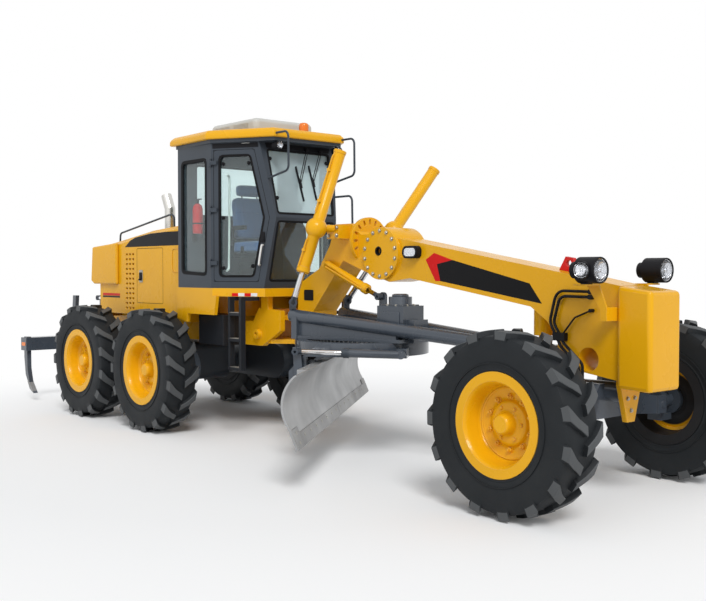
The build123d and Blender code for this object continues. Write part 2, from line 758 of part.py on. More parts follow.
ball_radius = 70
neck_radius = 40
collar_radius = 100
arm_radius = 35
with BuildPart() as boom:
    with BuildSketch(side_plane(0)):
        Polygon(*boom_outline, align=None)
    extrude(amount=boom_half_width, both=True)
    # round tongue about the hinge pin
    with BuildSketch(Plane.XY.offset(tongue_low)):
        with Locations((pivot_x, 0)):
            Circle(yoke_radius)
        with Locations((pivot_x + 100, 0)):
            Rectangle(200, 2 * yoke_radius)
    extrude(amount=tongue_high - tongue_low)
    with BuildSketch(Plane.XY.offset(yoke_low - 10)):
        with Locations((pivot_x, 0)):
            Circle(pin_radius + pin_clearance)
    extrude(amount=yoke_high + yoke_plate - yoke_low + 20, mode=Mode.SUBTRACT)
    # opening above the front axle
    with BuildSketch(side_plane(0)):
        with Locations((front_x + 10, 1040)):
            Circle(90)
    extrude(amount=200, both=True, mode=Mode.SUBTRACT)
    # round flange where the boom meets the gooseneck
    with BuildSketch(side_plane(0)):
        with Locations((rear_x + 4160, 1860)):
            Circle(240)
    extrude(amount=boom_half_width + 35, both=True)
    # hose passages through the flange
    for side in (-1, 1):
        with BuildSketch(side_plane(side * (boom_half_width + 35))):
            with Locations((rear_x + 4142, 1882)):
                Circle(30)
        extrude(amount=side * 80, mode=Mode.SUBTRACT)
    # index ring with its row of lock holes
    with BuildSketch(Plane(origin=(rear_x + 3780, 0, 1985), x_dir=(0, 1, 0), z_dir=(1, 0, 0))):
        Circle(225)
        with PolarLocations(180, 16):
            SlotOverall(56, 24, mode=Mode.SUBTRACT)
    extrude(amount=40)
    # arms and pins that hold the lift cylinders
    for side in (-1, 1):
        with BuildSketch(side_plane(side * (boom_half_width - 5))):
            with Locations((trunnion_x, trunnion_z - 30)):
                Rectangle(170, 130)
        extrude(amount=-side * 150)
        with BuildSketch(side_plane(side * boom_half_width)):
            with Locations((trunnion_x, trunnion_z)):
                Circle(arm_radius)
        extrude(amount=-side * (trunnion_y - boom_half_width))
        with Locations((trunnion_x, side * trunnion_y, trunnion_z)):
            Sphere(collar_radius + seat_gap, mode=Mode.SUBTRACT)
    # pin of the shift cylinder
    with BuildSketch(side_plane(-boom_half_width + 5)):
        with Locations((shift_base.X, shift_base.Z)):
            Circle(25)
    extrude(amount=85)
    # post, neck and ball that the drawbar hangs on
    with BuildSketch(Plane.XY.offset(ball_height + 100)):
        with Locations((ball.X, 0)):
            Circle(80)
    extrude(amount=260)
    with BuildSketch(Plane.XY.offset(ball_height)):
        with Locations((ball.X, 0)):
            Circle(neck_radius)
    extrude(amount=110)
    with Locations((ball.X, 0, ball_height)):
        Sphere(ball_radius)
    # hangers for the front axle trunnion
    for x, top, low in ((front_x - 290, 1230, 700), (front_x + 240, 960, 590)):
        with BuildSketch(Plane(origin=(x, 0, 0), x_dir=(0, 1, 0), z_dir=(1, 0, 0))):
            Polygon((-130, top), (-130, 860), (-48, low), (48, low), (130, 860), (130, top), align=None)
        extrude(amount=40)
save(boom.part, "boom")

# Front weight, bolted to the nose of the boom
weight_rear = rear_x + 6705
with BuildPart() as weight:
    with BuildSketch(side_plane(0)):
        Polygon((weight_rear, 850), (weight_rear + weight_length, 838),
                (weight_rear + weight_length, 1555), (weight_rear, 1592), align=None)
    extrude(amount=weight_half_width, both=True)
    fillet(weight.edges().filter_by(Axis.Z), 35)
save(weight.part, "front_weight")

# Headlamps on their brackets, and the work lamps on the boom's sides
lamp_y, lamp_z, lamp_x = 420, 1705, rear_x + 6560
lamp_radius, lamp_length = 95, 150
shelf_top, shelf_thickness = 1605, 12
lamp_cans = [(lamp_x, lamp_radius, lamp_length), (lamp_x - 60, 60, 60)]
with BuildPart() as headlamps:
    for side in (-1, 1):
        for x, radius, length in lamp_cans:
            with BuildSketch(Plane(origin=(x, side * lamp_y, lamp_z), x_dir=(0, 1, 0), z_dir=(1, 0, 0))):
                Circle(radius)
            extrude(amount=length)
        with BuildSketch(Plane.XY.offset(shelf_top)):
            with Locations((lamp_x + 50, side * lamp_y)):
                Rectangle(60, 60)
        extrude(amount=lamp_z - shelf_top)
        with BuildSketch(side_plane(side * boom_half_width)):
            with Locations((rear_x + 4575, 1866)):
                RectangleRounded(185, 110, 40)
        extrude(amount=-side * 55)
save(headlamps.part, "headlamps")
with BuildPart() as lamp_brackets:
    for side in (-1, 1):
        with BuildSketch(Plane.XY.offset(shelf_top)):
            with Locations((lamp_x + 25, side * (lamp_y - 35))):
                Rectangle(110, 170)
        extrude(amount=-shelf_thickness)
        with BuildSketch(side_plane(side * (lamp_y - 120))):
            Polygon(
                *ahead([(6530, 1600), (6640, 1600), (6704, 1440), (6704, 1340), (6650, 1340), (6650, 1420)]),
                align=None,
            )
        extrude(amount=-side * shelf_thickness)
        with BuildSketch(side_plane(side * boom_half_width)):
            with Locations((rear_x + 6677, 1390)):
                Rectangle(54, 100)
        extrude(amount=-side * (lamp_y - 120 + shelf_thickness - boom_half_width))
save(lamp_brackets.part, "lamp_brackets")

# Red lifting eye on the boom
with BuildPart() as lifting_eye:
    with BuildSketch(side_plane(0)):
        Polygon(*ahead([(6060, 1709), (6240, 1678), (6190, 1800), (6120, 1812)]), align=None)
        with Locations((rear_x + 6150, 1760)):
            Circle(25, mode=Mode.SUBTRACT)
    extrude(amount=20, both=True)
save(lifting_eye.part, "lifting_eye")

# Front axle beam with its trunnion
lean_y, king_y = 720, 850
with BuildPart() as front_axle:
    with BuildSketch(Plane(origin=(front_x - 90, 0, 0), x_dir=(0, 1, 0), z_dir=(1, 0, 0))):
        Polygon((-660, 570), (-300, 600), (300, 600), (660, 570), (660, 710), (160, 800), (120, 860),
                (-120, 860), (-160, 800), (-660, 710), align=None)
    extrude(amount=180)
    with BuildSketch(Plane(origin=(front_x - 249.7, 0, 800), z_dir=(1, 0, 0))):
        Circle(75)
    extrude(amount=489.4)
    for side in (-1, 1):
        for x in (front_x - 100, front_x + 65):
            with BuildSketch(Plane(origin=(x, 0, 0), x_dir=(0, 1, 0), z_dir=(1, 0, 0))):
                with Locations((side * (lean_y - 20), 640)):
                    Rectangle(120, 140)
            extrude(amount=35)
        with BuildSketch(Plane(origin=(front_x - 110, side * lean_y, 640), z_dir=(1, 0, 0))):
            Circle(28)
        extrude(amount=220)
save(front_axle.part, "front_axle")

# Hoses from the boom's nose down to the front axle, each out of a round union on the boom's side
hose_y = -(boom_half_width + 30)
hoses_table = [
    # radius, first bend radius, route ahead of the rear axle
    (11, 90, [(6470, 1546), (6160, 1550), (6098, 1310), (6200, 1130), (6375, 980), (6375, 780)]),
    (11, 70, [(6470, 1506), (6192, 1509), (6135, 1306), (6232, 1150), (6405, 1005), (6405, 780)]),
    (7, 60, [(6473, 1406), (6330, 1350), (6220, 1220)]),
]
with BuildPart() as hoses:
    for radius, bend, route in hoses_table:
        add(bent_bar(hose_y, route, radius, bend))
        with BuildSketch(side_plane(-boom_half_width)):
            with Locations(ahead(route[:1])[0]):
                Circle(radius + 7)
        extrude(amount=radius + 34)
    with BuildSketch(side_plane(-boom_half_width)):
        with Locations((rear_x + 6190, 1200)):
            Rectangle(110, 60)
    extrude(amount=46)
    add(front_axle.part, mode=Mode.SUBTRACT)
save(hoses.part, "hoses")

# Lean brackets and steering spindles at the axle ends
for name, side in (("right", -1), ("left", 1)):
    with BuildPart() as bracket:
        with BuildSketch(Plane(origin=(front_x - 60, 0, 0), x_dir=(0, 1, 0), z_dir=(1, 0, 0))):
            Polygon((side * 745, 500), (side * 900, 500), (side * 900, 550), (side * 800, 550),
                    (side * 800, 730), (side * 900, 730), (side * 900, 780), (side * 745, 780), align=None)
            with Locations((side * lean_y, 640)):
                Circle(50)
            with Locations((side * 735, 640)):
                Rectangle(40, 100)
        extrude(amount=120)
        with BuildSketch(Plane(origin=(front_x - 100, side * lean_y, 640), z_dir=(1, 0, 0))):
            Circle(28 + pin_clearance)
        extrude(amount=200, mode=Mode.SUBTRACT)
    save(bracket.part, "lean_bracket_" + name)
    with BuildPart() as spindle:
        with Locations((front_x, side * king_y, 640)):
            Cylinder(45, 178.4)
        with BuildSketch(side_plane(side * king_y)):
            with Locations((front_x, wheel_z)):
                Circle(55)
        extrude(amount=-side * (half_track + hub_face - wheel_gap - king_y))
        with BuildSketch(side_plane(side * 940)):
            with Locations((front_x, wheel_z)):
                Circle(115)
        extrude(amount=-side * (half_track + hub_face - wheel_gap - 940))
    save(spindle.part, "spindle_" + name)

# Drawbar frame: x runs back from the ball, y to the machine's right
bar_plane = Plane(origin=(ball.X, ball.Y, 0), x_dir=back, z_dir=(0, 0, 1))
tube_radius = 58
plate_low = circle_bottom + circle_height + seat_gap
plate_top = plate_low + 30
eye_gap, lug_plate = 14, 30


def lug(eye, foot, normal, radius):
    """Upright lug behind a rod's eye: square to the normal, from its foot up round the eye."""
    level = Vector(-normal.Y, normal.X, 0)
    plane = Plane(origin=eye - normal * (eye_half + eye_gap), x_dir=level, z_dir=normal * -1)
    with BuildPart(mode=Mode.PRIVATE) as piece:
        with BuildSketch(plane):
            Circle(radius)
            down = plane.y_dir.Z * (foot - eye.Z)
            with Locations((0, down / 2)):
                Rectangle(2 * radius, abs(down))
        extrude(amount=lug_plate)
    return piece.part


with BuildPart() as drawbar:
    with BuildSketch(Plane.XY.offset(ball_height - 70)):
        with Locations((ball.X, 0)):
            Circle(115)
    extrude(amount=95)
    for side in (-1, 1):
        start = bar_point(85, side * 30, ball_height - 20)
        end = bar_point(eye_back + 45, side * (eye_out - 25), 1285)
        with BuildSketch(rod_plane(start, end)):
            Circle(tube_radius)
        extrude(amount=reach(start, end))
        # side plates from the circle plate up to the tubes
        with BuildSketch(bar_plane.offset(plate_low)):
            Polygon((1350, side * 180), (2460, side * 325), (2460, side * 365), (1350, side * 220),
                    align=None)
        extrude(amount=150)
    with Locations((ball.X, 0, ball_height)):
        Sphere(ball_radius + seat_gap, mode=Mode.SUBTRACT)
    with BuildSketch(bar_plane.offset(plate_low)):
        Polygon((1300, -230), (2470, -400), (2470, 400), (1300, 230), align=None)
    extrude(amount=plate_top - plate_low)
    with BuildSketch(bar_plane.offset(plate_low)):
        Polygon((2400, -400), (2470, -400), (2470, 400), (2400, 400), align=None)
    extrude(amount=200)
    # circle drive gearbox
    with BuildSketch(bar_plane.offset(plate_low)):
        with Locations((1480, 0)):
            Rectangle(300, 290)
    extrude(amount=320)
    with BuildSketch(bar_plane.offset(plate_low)):
        with Locations((1290, 0)):
            Rectangle(90, 200)
    extrude(amount=200)
    with BuildSketch(bar_plane.offset(plate_low + 300)):
        with Locations((1480, 0)):
            Circle(105)
    extrude(amount=100)
    for top, low in lift_ends.values():
        add(lug(low, 1290, forward_normal(top, low), 32))
    add(lug(shift_eye, plate_low + 5, Vector(0, -1, 0), 40))
save(drawbar.part, "drawbar")

# Circle frame: x runs along the blade to its right end, y to the front of the blade
circle_centre = Vector(*bar_point(circle_back, 0, 0))
turn = radians(blade_turn)
along_blade = Vector(sin(turn), -cos(turn), 0)
ahead_of_blade = Vector(cos(turn), sin(turn), 0)


def blade_plane(z):
    return Plane(origin=(circle_centre.X, circle_centre.Y, z), x_dir=along_blade, z_dir=(0, 0, 1))


def across_blade(s):
    """Upright plane square to the blade at this distance to its right, x forward and y up."""
    o = circle_centre + along_blade * s
    return Plane(origin=(o.X, o.Y, 0), x_dir=ahead_of_blade, z_dir=along_blade)


tilt_n, tilt_z = -430, 470
arm_inner, arm_thickness = 530, 60
tilt_pin_radius = 36
cylinder_s = 682
tilt_base_n, tilt_base_z = 440, 985
lever_z = 1000
with BuildPart() as circle:
    with BuildSketch(blade_plane(circle_bottom)):
        Circle(circle_radius)
        Circle(circle_radius - 110, mode=Mode.SUBTRACT)
    extrude(amount=circle_height)
    for side in (-1, 1):
        with BuildSketch(across_blade(side * arm_inner)):
            Polygon((260, circle_bottom), (-402, circle_bottom), (-402, 580), (-372, 530), (-372, 400),
                    (-500, 400), (-560, 600), (-560, 820), (-430, circle_bottom + 10), (-300, 1060),
                    (200, 1060), align=None)
            with Locations((tilt_n, tilt_z)):
                Circle(tilt_pin_radius, mode=Mode.SUBTRACT)
        extrude(amount=side * arm_thickness)
    # ear and pin of the tilt cylinder
    with BuildSketch(blade_plane(circle_bottom)):
        with Locations((535, tilt_base_n)):
            Rectangle(210, 90)
    extrude(amount=tilt_base_z + 45 - circle_bottom)
    with BuildSketch(across_blade(630)):
        with Locations((tilt_base_n, tilt_base_z)):
            Circle(20)
    extrude(amount=cylinder_s + eye_half - 630)
save(circle.part, "circle")

# Moldboard with its two slide rails
edge_z = blade_edge_height
rail_n = -345
with BuildPart() as moldboard:
    with BuildSketch(across_blade(-blade_length / 2)):
        with BuildLine():
            a = (-blade_back, edge_z)
            b = (-blade_back - 70, edge_z + 170)
            c = (-blade_back - 15, edge_z + blade_chord - 45)
            Line(a, b)
            ThreePointArc(b, (-blade_back - 118, edge_z + 370), c)
            Line(c, (c[0] - blade_plate, c[1]))
            ThreePointArc((c[0] - blade_plate, c[1]), (-blade_back - 118 - blade_plate, edge_z + 370),
                          (b[0] - blade_plate, b[1]))
            Line((b[0] - blade_plate, b[1]), (a[0] - blade_plate, a[1]))
            Line((a[0] - blade_plate, a[1]), a)
        make_face()
    extrude(amount=blade_length)
    for z in (470, 850):
        with BuildSketch(across_blade(-1250)):
            Polygon((rail_n, z), (rail_n + 90, z), (rail_n + 90, z + 50), (rail_n, z + 50), align=None)
        extrude(amount=2500)
save(moldboard.part, "moldboard")

# Blade carrier: tilts on the arms and holds the rails
with BuildPart() as carrier:
    for side in (-1, 1):
        with BuildSketch(across_blade(side * 430)):
            Polygon((-500, 400), (rail_n - seat_gap, 400), (rail_n - seat_gap, 910), (-400, 910),
                    (-460, 780), (-500, 560), align=None)
        extrude(amount=side * 60)
    with BuildSketch(across_blade(-600)):
        with Locations((tilt_n, tilt_z)):
            Circle(tilt_pin_radius - pin_clearance)
    extrude(amount=1235)
    lever_out = cylinder_s - eye_half - eye_gap
    with BuildSketch(across_blade(lever_out - 30)):
        Polygon((-475, 420), (-385, 420), (-445, lever_z + 35), (-515, lever_z + 35), align=None)
    extrude(amount=30)
save(carrier.part, "blade_carrier")

# Cylinders from one table of base, rod's eye, normal, barrel above and below the base, rod length
tilt_base = Vector(*across_blade(cylinder_s).from_local_coords((tilt_base_n, tilt_base_z, 0)))
tilt_eye = Vector(*across_blade(cylinder_s).from_local_coords((-480, lever_z, 0)))
ripper_eye = Vector(rear_x - ripper_back + 50, 0, 1330)
right_top, right_eye = lift_ends["right"]
left_top, left_eye = lift_ends["left"]
cylinders = [
    ("lift_right", right_top, right_eye, forward_normal(right_top, right_eye), 760, 430, 57, 28, 1210, 25),
    ("lift_left", left_top, left_eye, forward_normal(left_top, left_eye), 760, 430, 57, 28, 1210, 25),
    ("shift", shift_base, shift_eye, Vector(0, -1, 0), 0, 660, 42, 22, 620, 25),
    ("tilt", tilt_base, tilt_eye, along_blade, 0, 505, 36, 20, 521, 20),
    ("ripper", ripper_base, ripper_eye, Vector(0, -1, 0), 0, 640, 45, 24, 700, 20),
]
for name, base, eye, normal, above, below, radius, rod_radius, rod_length, pin in cylinders:
    run = (eye - base).normalized()
    with BuildPart() as barrel:
        low_end = base + run * below
        if above:
            with BuildSketch(rod_plane(base - run * above, low_end)):
                Circle(radius)
            extrude(amount=above + below)
            # ball collar that turns in the arm's socket
            with Locations(base):
                Sphere(collar_radius)
        else:
            with BuildSketch(rod_plane(base + run * 20, low_end)):
                Circle(radius)
            extrude(amount=below - 20)
            with BuildSketch(Plane(origin=base, x_dir=run, z_dir=normal)):
                Circle(38)
            extrude(amount=eye_half, both=True)
        with BuildSketch(rod_plane(low_end, base)):
            Circle(rod_radius + pin_clearance)
        extrude(amount=above + below - 46 - 0.1, mode=Mode.SUBTRACT)
        if not above:
            with BuildSketch(Plane(origin=base, x_dir=run, z_dir=normal)):
                Circle(pin + pin_clearance)
            extrude(amount=2 * eye_half, both=True, mode=Mode.SUBTRACT)
    save(barrel.part, name + "_barrel")
    with BuildPart() as rod:
        with BuildSketch(rod_plane(eye, base)):
            Circle(rod_radius)
        extrude(amount=rod_length)
        with BuildSketch(Plane(origin=eye, x_dir=run, z_dir=normal)):
            Circle(rod_radius + 10)
        extrude(amount=eye_half, both=True)
        with BuildSketch(Plane(origin=eye, x_dir=run, z_dir=normal)):
            Circle(rod_radius - 8)
        extrude(amount=2 * eye_half, both=True, mode=Mode.SUBTRACT)
    save(rod.part, name + "_rod")

# Ripper beam with its five curved tines
beam_x = rear_x - ripper_back
beam_z = 735
tine_spacing = 2 * (ripper_half_width - 60) / 4
with BuildPart() as ripper:
    with BuildSketch(side_plane(0)):
        with Locations((beam_x, beam_z)):
            Rectangle(ripper_beam, ripper_beam)
    extrude(amount=ripper_half_width, both=True)
    for i in range(5):
        y = -ripper_half_width + 60 + i * tine_spacing
        with BuildSketch(side_plane(y)):
            Polygon((beam_x - 60, 830), (beam_x + 30, 830), (beam_x + 40, 420), (beam_x + 100, 230),
                    (beam_x + 235, 100), (beam_x + 120, 150), (beam_x - 20, 330), (beam_x - 60, 560),
                    align=None)
        extrude(amount=28, both=True)
    for side in (-1, 1):
        with BuildSketch(side_plane(side * 330)):
            Polygon((beam_x, 650), (beam_x, 820), (ripper_pivot_x - 60, 1110), (ripper_pivot_x, 1110),
                    (ripper_pivot_x, ripper_pivot_z - 50), (beam_x + 200, 650), align=None)
            with Locations((ripper_pivot_x, ripper_pivot_z)):
                Circle(50)
                Circle(30 + pin_clearance, mode=Mode.SUBTRACT)
        extrude(amount=-side * 50)
    # uprights on the side plates and the cylinder's lug
    for side in (-1, 1):
        with BuildSketch(side_plane(side * 330)):
            Polygon((beam_x, 800), (beam_x + 85, 800), (beam_x + 150, 1370), (beam_x + 60, 1370), align=None)
        extrude(amount=-side * 50)
    add(lug(ripper_eye, beam_z, Vector(0, -1, 0), 45))
save(ripper.part, "ripper")
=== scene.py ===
# %% [markdown]
# # A motor grader, dressed
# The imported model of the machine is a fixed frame: every body, hinge and size is already settled.
# This lesson gives it its looks: tyres with their tread, paint with worn edges, glass, decals, lamps,
# cushions, bolts and pipes. Each cell says what the thing is on the real machine, how it could be made
# in Blender, and why it is made the way it is here. All lengths are metres, X points forward, Y to the
# machine's left and Z up from the ground.

# %% Load the frame
import json
from math import asin, atan2, cos, hypot, pi, radians, sin, sqrt, tan

import bmesh
import bpy
from mathutils import Matrix, Vector


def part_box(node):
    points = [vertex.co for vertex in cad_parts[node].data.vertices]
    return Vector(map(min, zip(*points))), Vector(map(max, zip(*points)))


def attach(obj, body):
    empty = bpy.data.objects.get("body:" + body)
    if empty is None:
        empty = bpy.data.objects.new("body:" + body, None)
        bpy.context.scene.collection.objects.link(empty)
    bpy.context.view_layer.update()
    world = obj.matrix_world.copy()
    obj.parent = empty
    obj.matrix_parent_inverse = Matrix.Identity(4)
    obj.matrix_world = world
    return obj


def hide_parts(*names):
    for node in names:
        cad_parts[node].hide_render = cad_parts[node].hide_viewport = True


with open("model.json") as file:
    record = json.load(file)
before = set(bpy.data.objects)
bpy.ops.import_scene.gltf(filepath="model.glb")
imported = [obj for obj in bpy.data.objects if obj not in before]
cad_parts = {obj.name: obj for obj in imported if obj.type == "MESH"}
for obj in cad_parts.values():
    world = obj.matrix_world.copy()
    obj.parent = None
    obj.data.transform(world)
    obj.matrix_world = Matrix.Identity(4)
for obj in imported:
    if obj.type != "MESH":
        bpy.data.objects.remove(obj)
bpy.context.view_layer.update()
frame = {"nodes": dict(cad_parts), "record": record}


# %% [markdown]
# ## Where things are
# The photograph was measured along the machine from the rear axle, so the lesson keeps that habit. The
# axle's place is read from the frame, from the box round a rear rim, and not typed in again.

# %% Places along the machine
def middle(node):
    low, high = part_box(node)
    return (low + high) / 2


rear_x = middle("rim_rear_right").x
half_track = -middle("rim_rear_right").y
wheel_z = middle("rim_rear_right").z
front_x = middle("rim_front_right").x


def ahead(distance):
    """X of a station, given as its distance ahead of the rear axle."""
    return rear_x + distance


print("rear axle at", round(rear_x, 3), "front axle at", round(front_x, 3))

# %% [markdown]
# ## The camera
# The picture was taken from the right and ahead, at about standing height, from ten metres away. A camera
# can be set by eye, but here it was solved from points whose real positions are known, such as wheel
# centres. The solution is a position, two angles and a focal length in pixels. The sensor is 36 mm wide,
# so the lens follows from the focal length.

# %% Camera
frame_width, focal_pixels, sensor = 706, 990.6, 36.0
camera_spot = (7.9247, -6.2752, 1.6976)
yaw, pitch = radians(139.334), radians(-1.694)
look = Vector((cos(yaw) * cos(pitch), sin(yaw) * cos(pitch), sin(pitch)))
right = Vector((sin(yaw), -cos(yaw), 0))
up = right.cross(look)
camera = bpy.data.objects.new("camera", bpy.data.cameras.new("camera"))
bpy.context.scene.collection.objects.link(camera)
camera.data.sensor_width = sensor
camera.data.lens = focal_pixels / frame_width * sensor
camera.matrix_world = Matrix.Translation(camera_spot) @ Matrix((right, up, -look)).transposed().to_4x4()
bpy.context.scene.camera = camera
print("lens", round(camera.data.lens, 2), "mm")

# %% [markdown]
# ## Floor and light
# The machine stands in a plain white studio. One way to get a white ground is to add light until the floor
# burns out, but that bleaches the paint as well. Here the light stays at the level where a colour renders
# as it is written, and the white comes from the materials: far from the machine the floor gives out plain
# white, and the sky is white only for camera, mirror and glass rays.


# %% World
def wire(tree, *links):
    """Join sockets in a node tree: each link is a node, its output, the next node and its input."""
    for source, output, target, socket in links:
        tree.links.new(source.outputs[output], target.inputs[socket])


world = bpy.data.worlds.new("studio")
bpy.context.scene.world = world
world.use_nodes = True
sky = world.node_tree
sky.nodes.clear()
soft = sky.nodes.new("ShaderNodeBackground")
soft.inputs["Color"].default_value = (0.94, 0.97, 1.0, 1)
soft.inputs["Strength"].default_value = 0.50
white = sky.nodes.new("ShaderNodeBackground")
white.inputs["Color"].default_value = (1, 1, 1, 1)
path = sky.nodes.new("ShaderNodeLightPath")
seen = sky.nodes.new("ShaderNodeMath")
seen.operation = "MAXIMUM"
through = sky.nodes.new("ShaderNodeMath")
through.operation = "MAXIMUM"
choose = sky.nodes.new("ShaderNodeMixShader")
result = sky.nodes.new("ShaderNodeOutputWorld")
wire(sky, (path, "Is Camera Ray", seen, 0), (path, "Is Transmission Ray", seen, 1), (seen, 0, through, 0),
     (path, "Is Glossy Ray", through, 1), (through, 0, choose, 0), (soft, 0, choose, 1),
     (white, 0, choose, 2), (choose, 0, result, 0))
print("soft sky strength", soft.inputs["Strength"].default_value)

# %% [markdown]
# The floor asks how far a point is from the machine. Close by it is a pale surface that takes the shadow,
# and further out it fades into plain white light, so that no horizon shows. The fade is a mix of two
# shaders, driven by the length of the point's own position.

# %% Floor
floor_material = bpy.data.materials.new("pale_floor")
floor_material.use_nodes = True
ground = floor_material.node_tree
shader = ground.nodes["Principled BSDF"]
shader.inputs["Base Color"].default_value = (0.93, 0.93, 0.93, 1)
shader.inputs["Roughness"].default_value = 0.9
place = ground.nodes.new("ShaderNodeTexCoord")
distance = ground.nodes.new("ShaderNodeVectorMath")
distance.operation = "LENGTH"
fade = ground.nodes.new("ShaderNodeMapRange")
fade_start, fade_end = 3.5, 7.5
fade.inputs["From Min"].default_value = fade_start
fade.inputs["From Max"].default_value = fade_end
shine = ground.nodes.new("ShaderNodeEmission")
blend = ground.nodes.new("ShaderNodeMixShader")
wire(ground, (place, "Object", distance, 0), (distance, "Value", fade, "Value"), (fade, "Result", blend, 0),
     (shader, 0, blend, 1), (shine, 0, blend, 2))
ground.links.new(blend.outputs[0], ground.nodes["Material Output"].inputs["Surface"])

floor_mesh = bpy.data.meshes.new("floor")
reach = 60.0
floor_mesh.from_pydata(
    [(-reach, -reach, 0), (reach, -reach, 0), (reach, reach, 0), (-reach, reach, 0)], [], [(0, 1, 2, 3)]
)
floor = bpy.data.objects.new("floor", floor_mesh)
floor.location.z = -0.001
bpy.context.scene.collection.objects.link(floor)
floor_mesh.materials.append(floor_material)
print("floor white from", fade_end, "m on")

# %% [markdown]
# Two suns are enough. The key stands ahead and to the right and draws the soft shadow under the machine.
# The fill is weak and very wide, and keeps the walls that face away from the key from going black.

# %% Lamps
# name, strength, softness in degrees, direction that the light comes from
suns = [
    ("key_light", 2.0, 20, (0.75, -0.50, 0.85)),
    ("fill_light", 0.30, 60, (0.2, -0.9, 0.35)),
]
for name, strength, softness, toward in suns:
    lamp = bpy.data.objects.new(name, bpy.data.lights.new(name, "SUN"))
    lamp.data.energy = strength
    lamp.data.angle = radians(softness)
    lamp.rotation_mode = "QUATERNION"
    lamp.rotation_quaternion = Vector(toward).to_track_quat("Z", "Y")
    bpy.context.scene.collection.objects.link(lamp)
bpy.context.scene.view_settings.view_transform = "Standard"
print("studio ready:", len(suns), "lamps")

# %% [markdown]
# ## Shared effects as node groups
# Paint, castings, rubber and plastic all show the same few effects: edges rub bare, a surface is never one
# even tone, its sheen breaks up on a fine grain, and dust settles low down. Each effect could be rebuilt in
# every material. A node group is made once and placed with other values, so a change to it reaches every
# finish. The groups give out only colours, masks and heights; the shader stays in the material.


# %% A helper for node groups
def new_group(name, inputs, outputs):
    """Empty shader group. Inputs are (name, default): a number, a point or a colour; outputs (name, kind)."""
    group = bpy.data.node_groups.new(name, "ShaderNodeTree")
    for label, value in inputs:
        kind = "NodeSocketFloat"
        if isinstance(value, tuple):
            kind = "NodeSocketColor" if len(value) == 4 else "NodeSocketVector"
        socket = group.interface.new_socket(name=label, in_out="INPUT", socket_type=kind)
        socket.default_value = value
    for label, kind in outputs:
        group.interface.new_socket(name=label, in_out="OUTPUT", socket_type=kind)
    start = group.nodes.new("NodeGroupInput")
    end = group.nodes.new("NodeGroupOutput")
    return group, start, end


def step(tree, kind, settings=(), **values):
    """New node of this kind with its properties and socket values set."""
    node = tree.nodes.new("ShaderNode" + kind)
    for key, value in settings:
        setattr(node, key, value)
    for key, value in values.items():
        node.inputs[key.replace("_", " ")].default_value = value
    return node


# %% [markdown]
# **Edge wear.** Where two faces meet, hands, boots and gravel rub the paint. The Bevel node looks round
# each point within a radius: where the rounded normal leaves the true one, there is an edge. Noise breaks
# the line, so that only some of the edge is bare.

# %% Group: edge wear
edge_wear, given, out = new_group(
    "edge wear", [("Radius", 0.006), ("Amount", 0.5), ("Scale", 30.0)], [("Mask", "NodeSocketFloat")]
)
rounded = step(edge_wear, "Bevel", [("samples", 4)])
true_normal = step(edge_wear, "NewGeometry")
alike = step(edge_wear, "VectorMath", [("operation", "DOT_PRODUCT")])
edge = step(edge_wear, "MapRange", From_Min=0.995, From_Max=0.93)
where = step(edge_wear, "TexCoord")
patches = step(edge_wear, "TexNoise", Detail=4.0, Roughness=0.6)
chips = step(edge_wear, "MapRange", From_Min=0.62, From_Max=0.5)
both = step(edge_wear, "Math", [("operation", "MULTIPLY")])
scaled = step(edge_wear, "Math", [("operation", "MULTIPLY")])
wire(edge_wear, (given, "Radius", rounded, "Radius"), (rounded, "Normal", alike, 0),
     (true_normal, "Normal", alike, 1), (alike, "Value", edge, "Value"),
     (where, "Object", patches, "Vector"), (given, "Scale", patches, "Scale"),
     (patches, "Fac", chips, "Value"), (edge, "Result", both, 0), (chips, "Result", both, 1),
     (both, 0, scaled, 0), (given, "Amount", scaled, 1), (scaled, 0, out, "Mask"))

# %% [markdown]
# **Grain.** Sprayed paint dries with a faint orange-peel, rubber and cast iron with a coarser skin. Two
# scales of noise give a height for a Bump node and a second value that varies the roughness.

# %% Group: grain
grain, given, out = new_group(
    "grain", [("Scale", 300.0), ("Low", 0.3), ("High", 0.5)],
    [("Height", "NodeSocketFloat"), ("Roughness", "NodeSocketFloat")],
)
where = step(grain, "TexCoord")
fine = step(grain, "TexNoise", Detail=3.0)
broad = step(grain, "TexNoise", Scale=3.5, Detail=5.0)
spread = step(grain, "MapRange", From_Min=0.3, From_Max=0.7)
wire(grain, (where, "Object", fine, "Vector"), (where, "Object", broad, "Vector"),
     (given, "Scale", fine, "Scale"), (broad, "Fac", spread, "Value"), (given, "Low", spread, "To Min"),
     (given, "High", spread, "To Max"), (fine, "Fac", out, "Height"), (spread, "Result", out, "Roughness"))

# %% [markdown]
# **Dust.** The machine has been driven a little, so a pale film lies low on it and on what faces up. The
# mask falls with height above the ground and rises with the upward part of the normal.

# %% Group: dust
dust, given, out = new_group(
    "dust", [("Color", (0.5, 0.5, 0.5, 1)), ("Dust", (0.30, 0.26, 0.21, 1)), ("Amount", 0.3), ("Top", 1.2)],
    [("Color", "NodeSocketColor"), ("Mask", "NodeSocketFloat")],
)
where = step(dust, "TexCoord")
parts = step(dust, "SeparateXYZ")
low_down = step(dust, "MapRange", From_Min=0.0, To_Min=1.0, To_Max=0.12)
facing = step(dust, "NewGeometry")
upward = step(dust, "SeparateXYZ")
lying = step(dust, "MapRange", From_Min=-0.2, From_Max=1.0, To_Min=0.35, To_Max=1.0)
clouds = step(dust, "TexNoise", Scale=6.0, Detail=6.0, Roughness=0.65)
uneven = step(dust, "MapRange", From_Min=0.35, From_Max=0.75)
first = step(dust, "Math", [("operation", "MULTIPLY")])
second = step(dust, "Math", [("operation", "MULTIPLY")])
third = step(dust, "Math", [("operation", "MULTIPLY")])
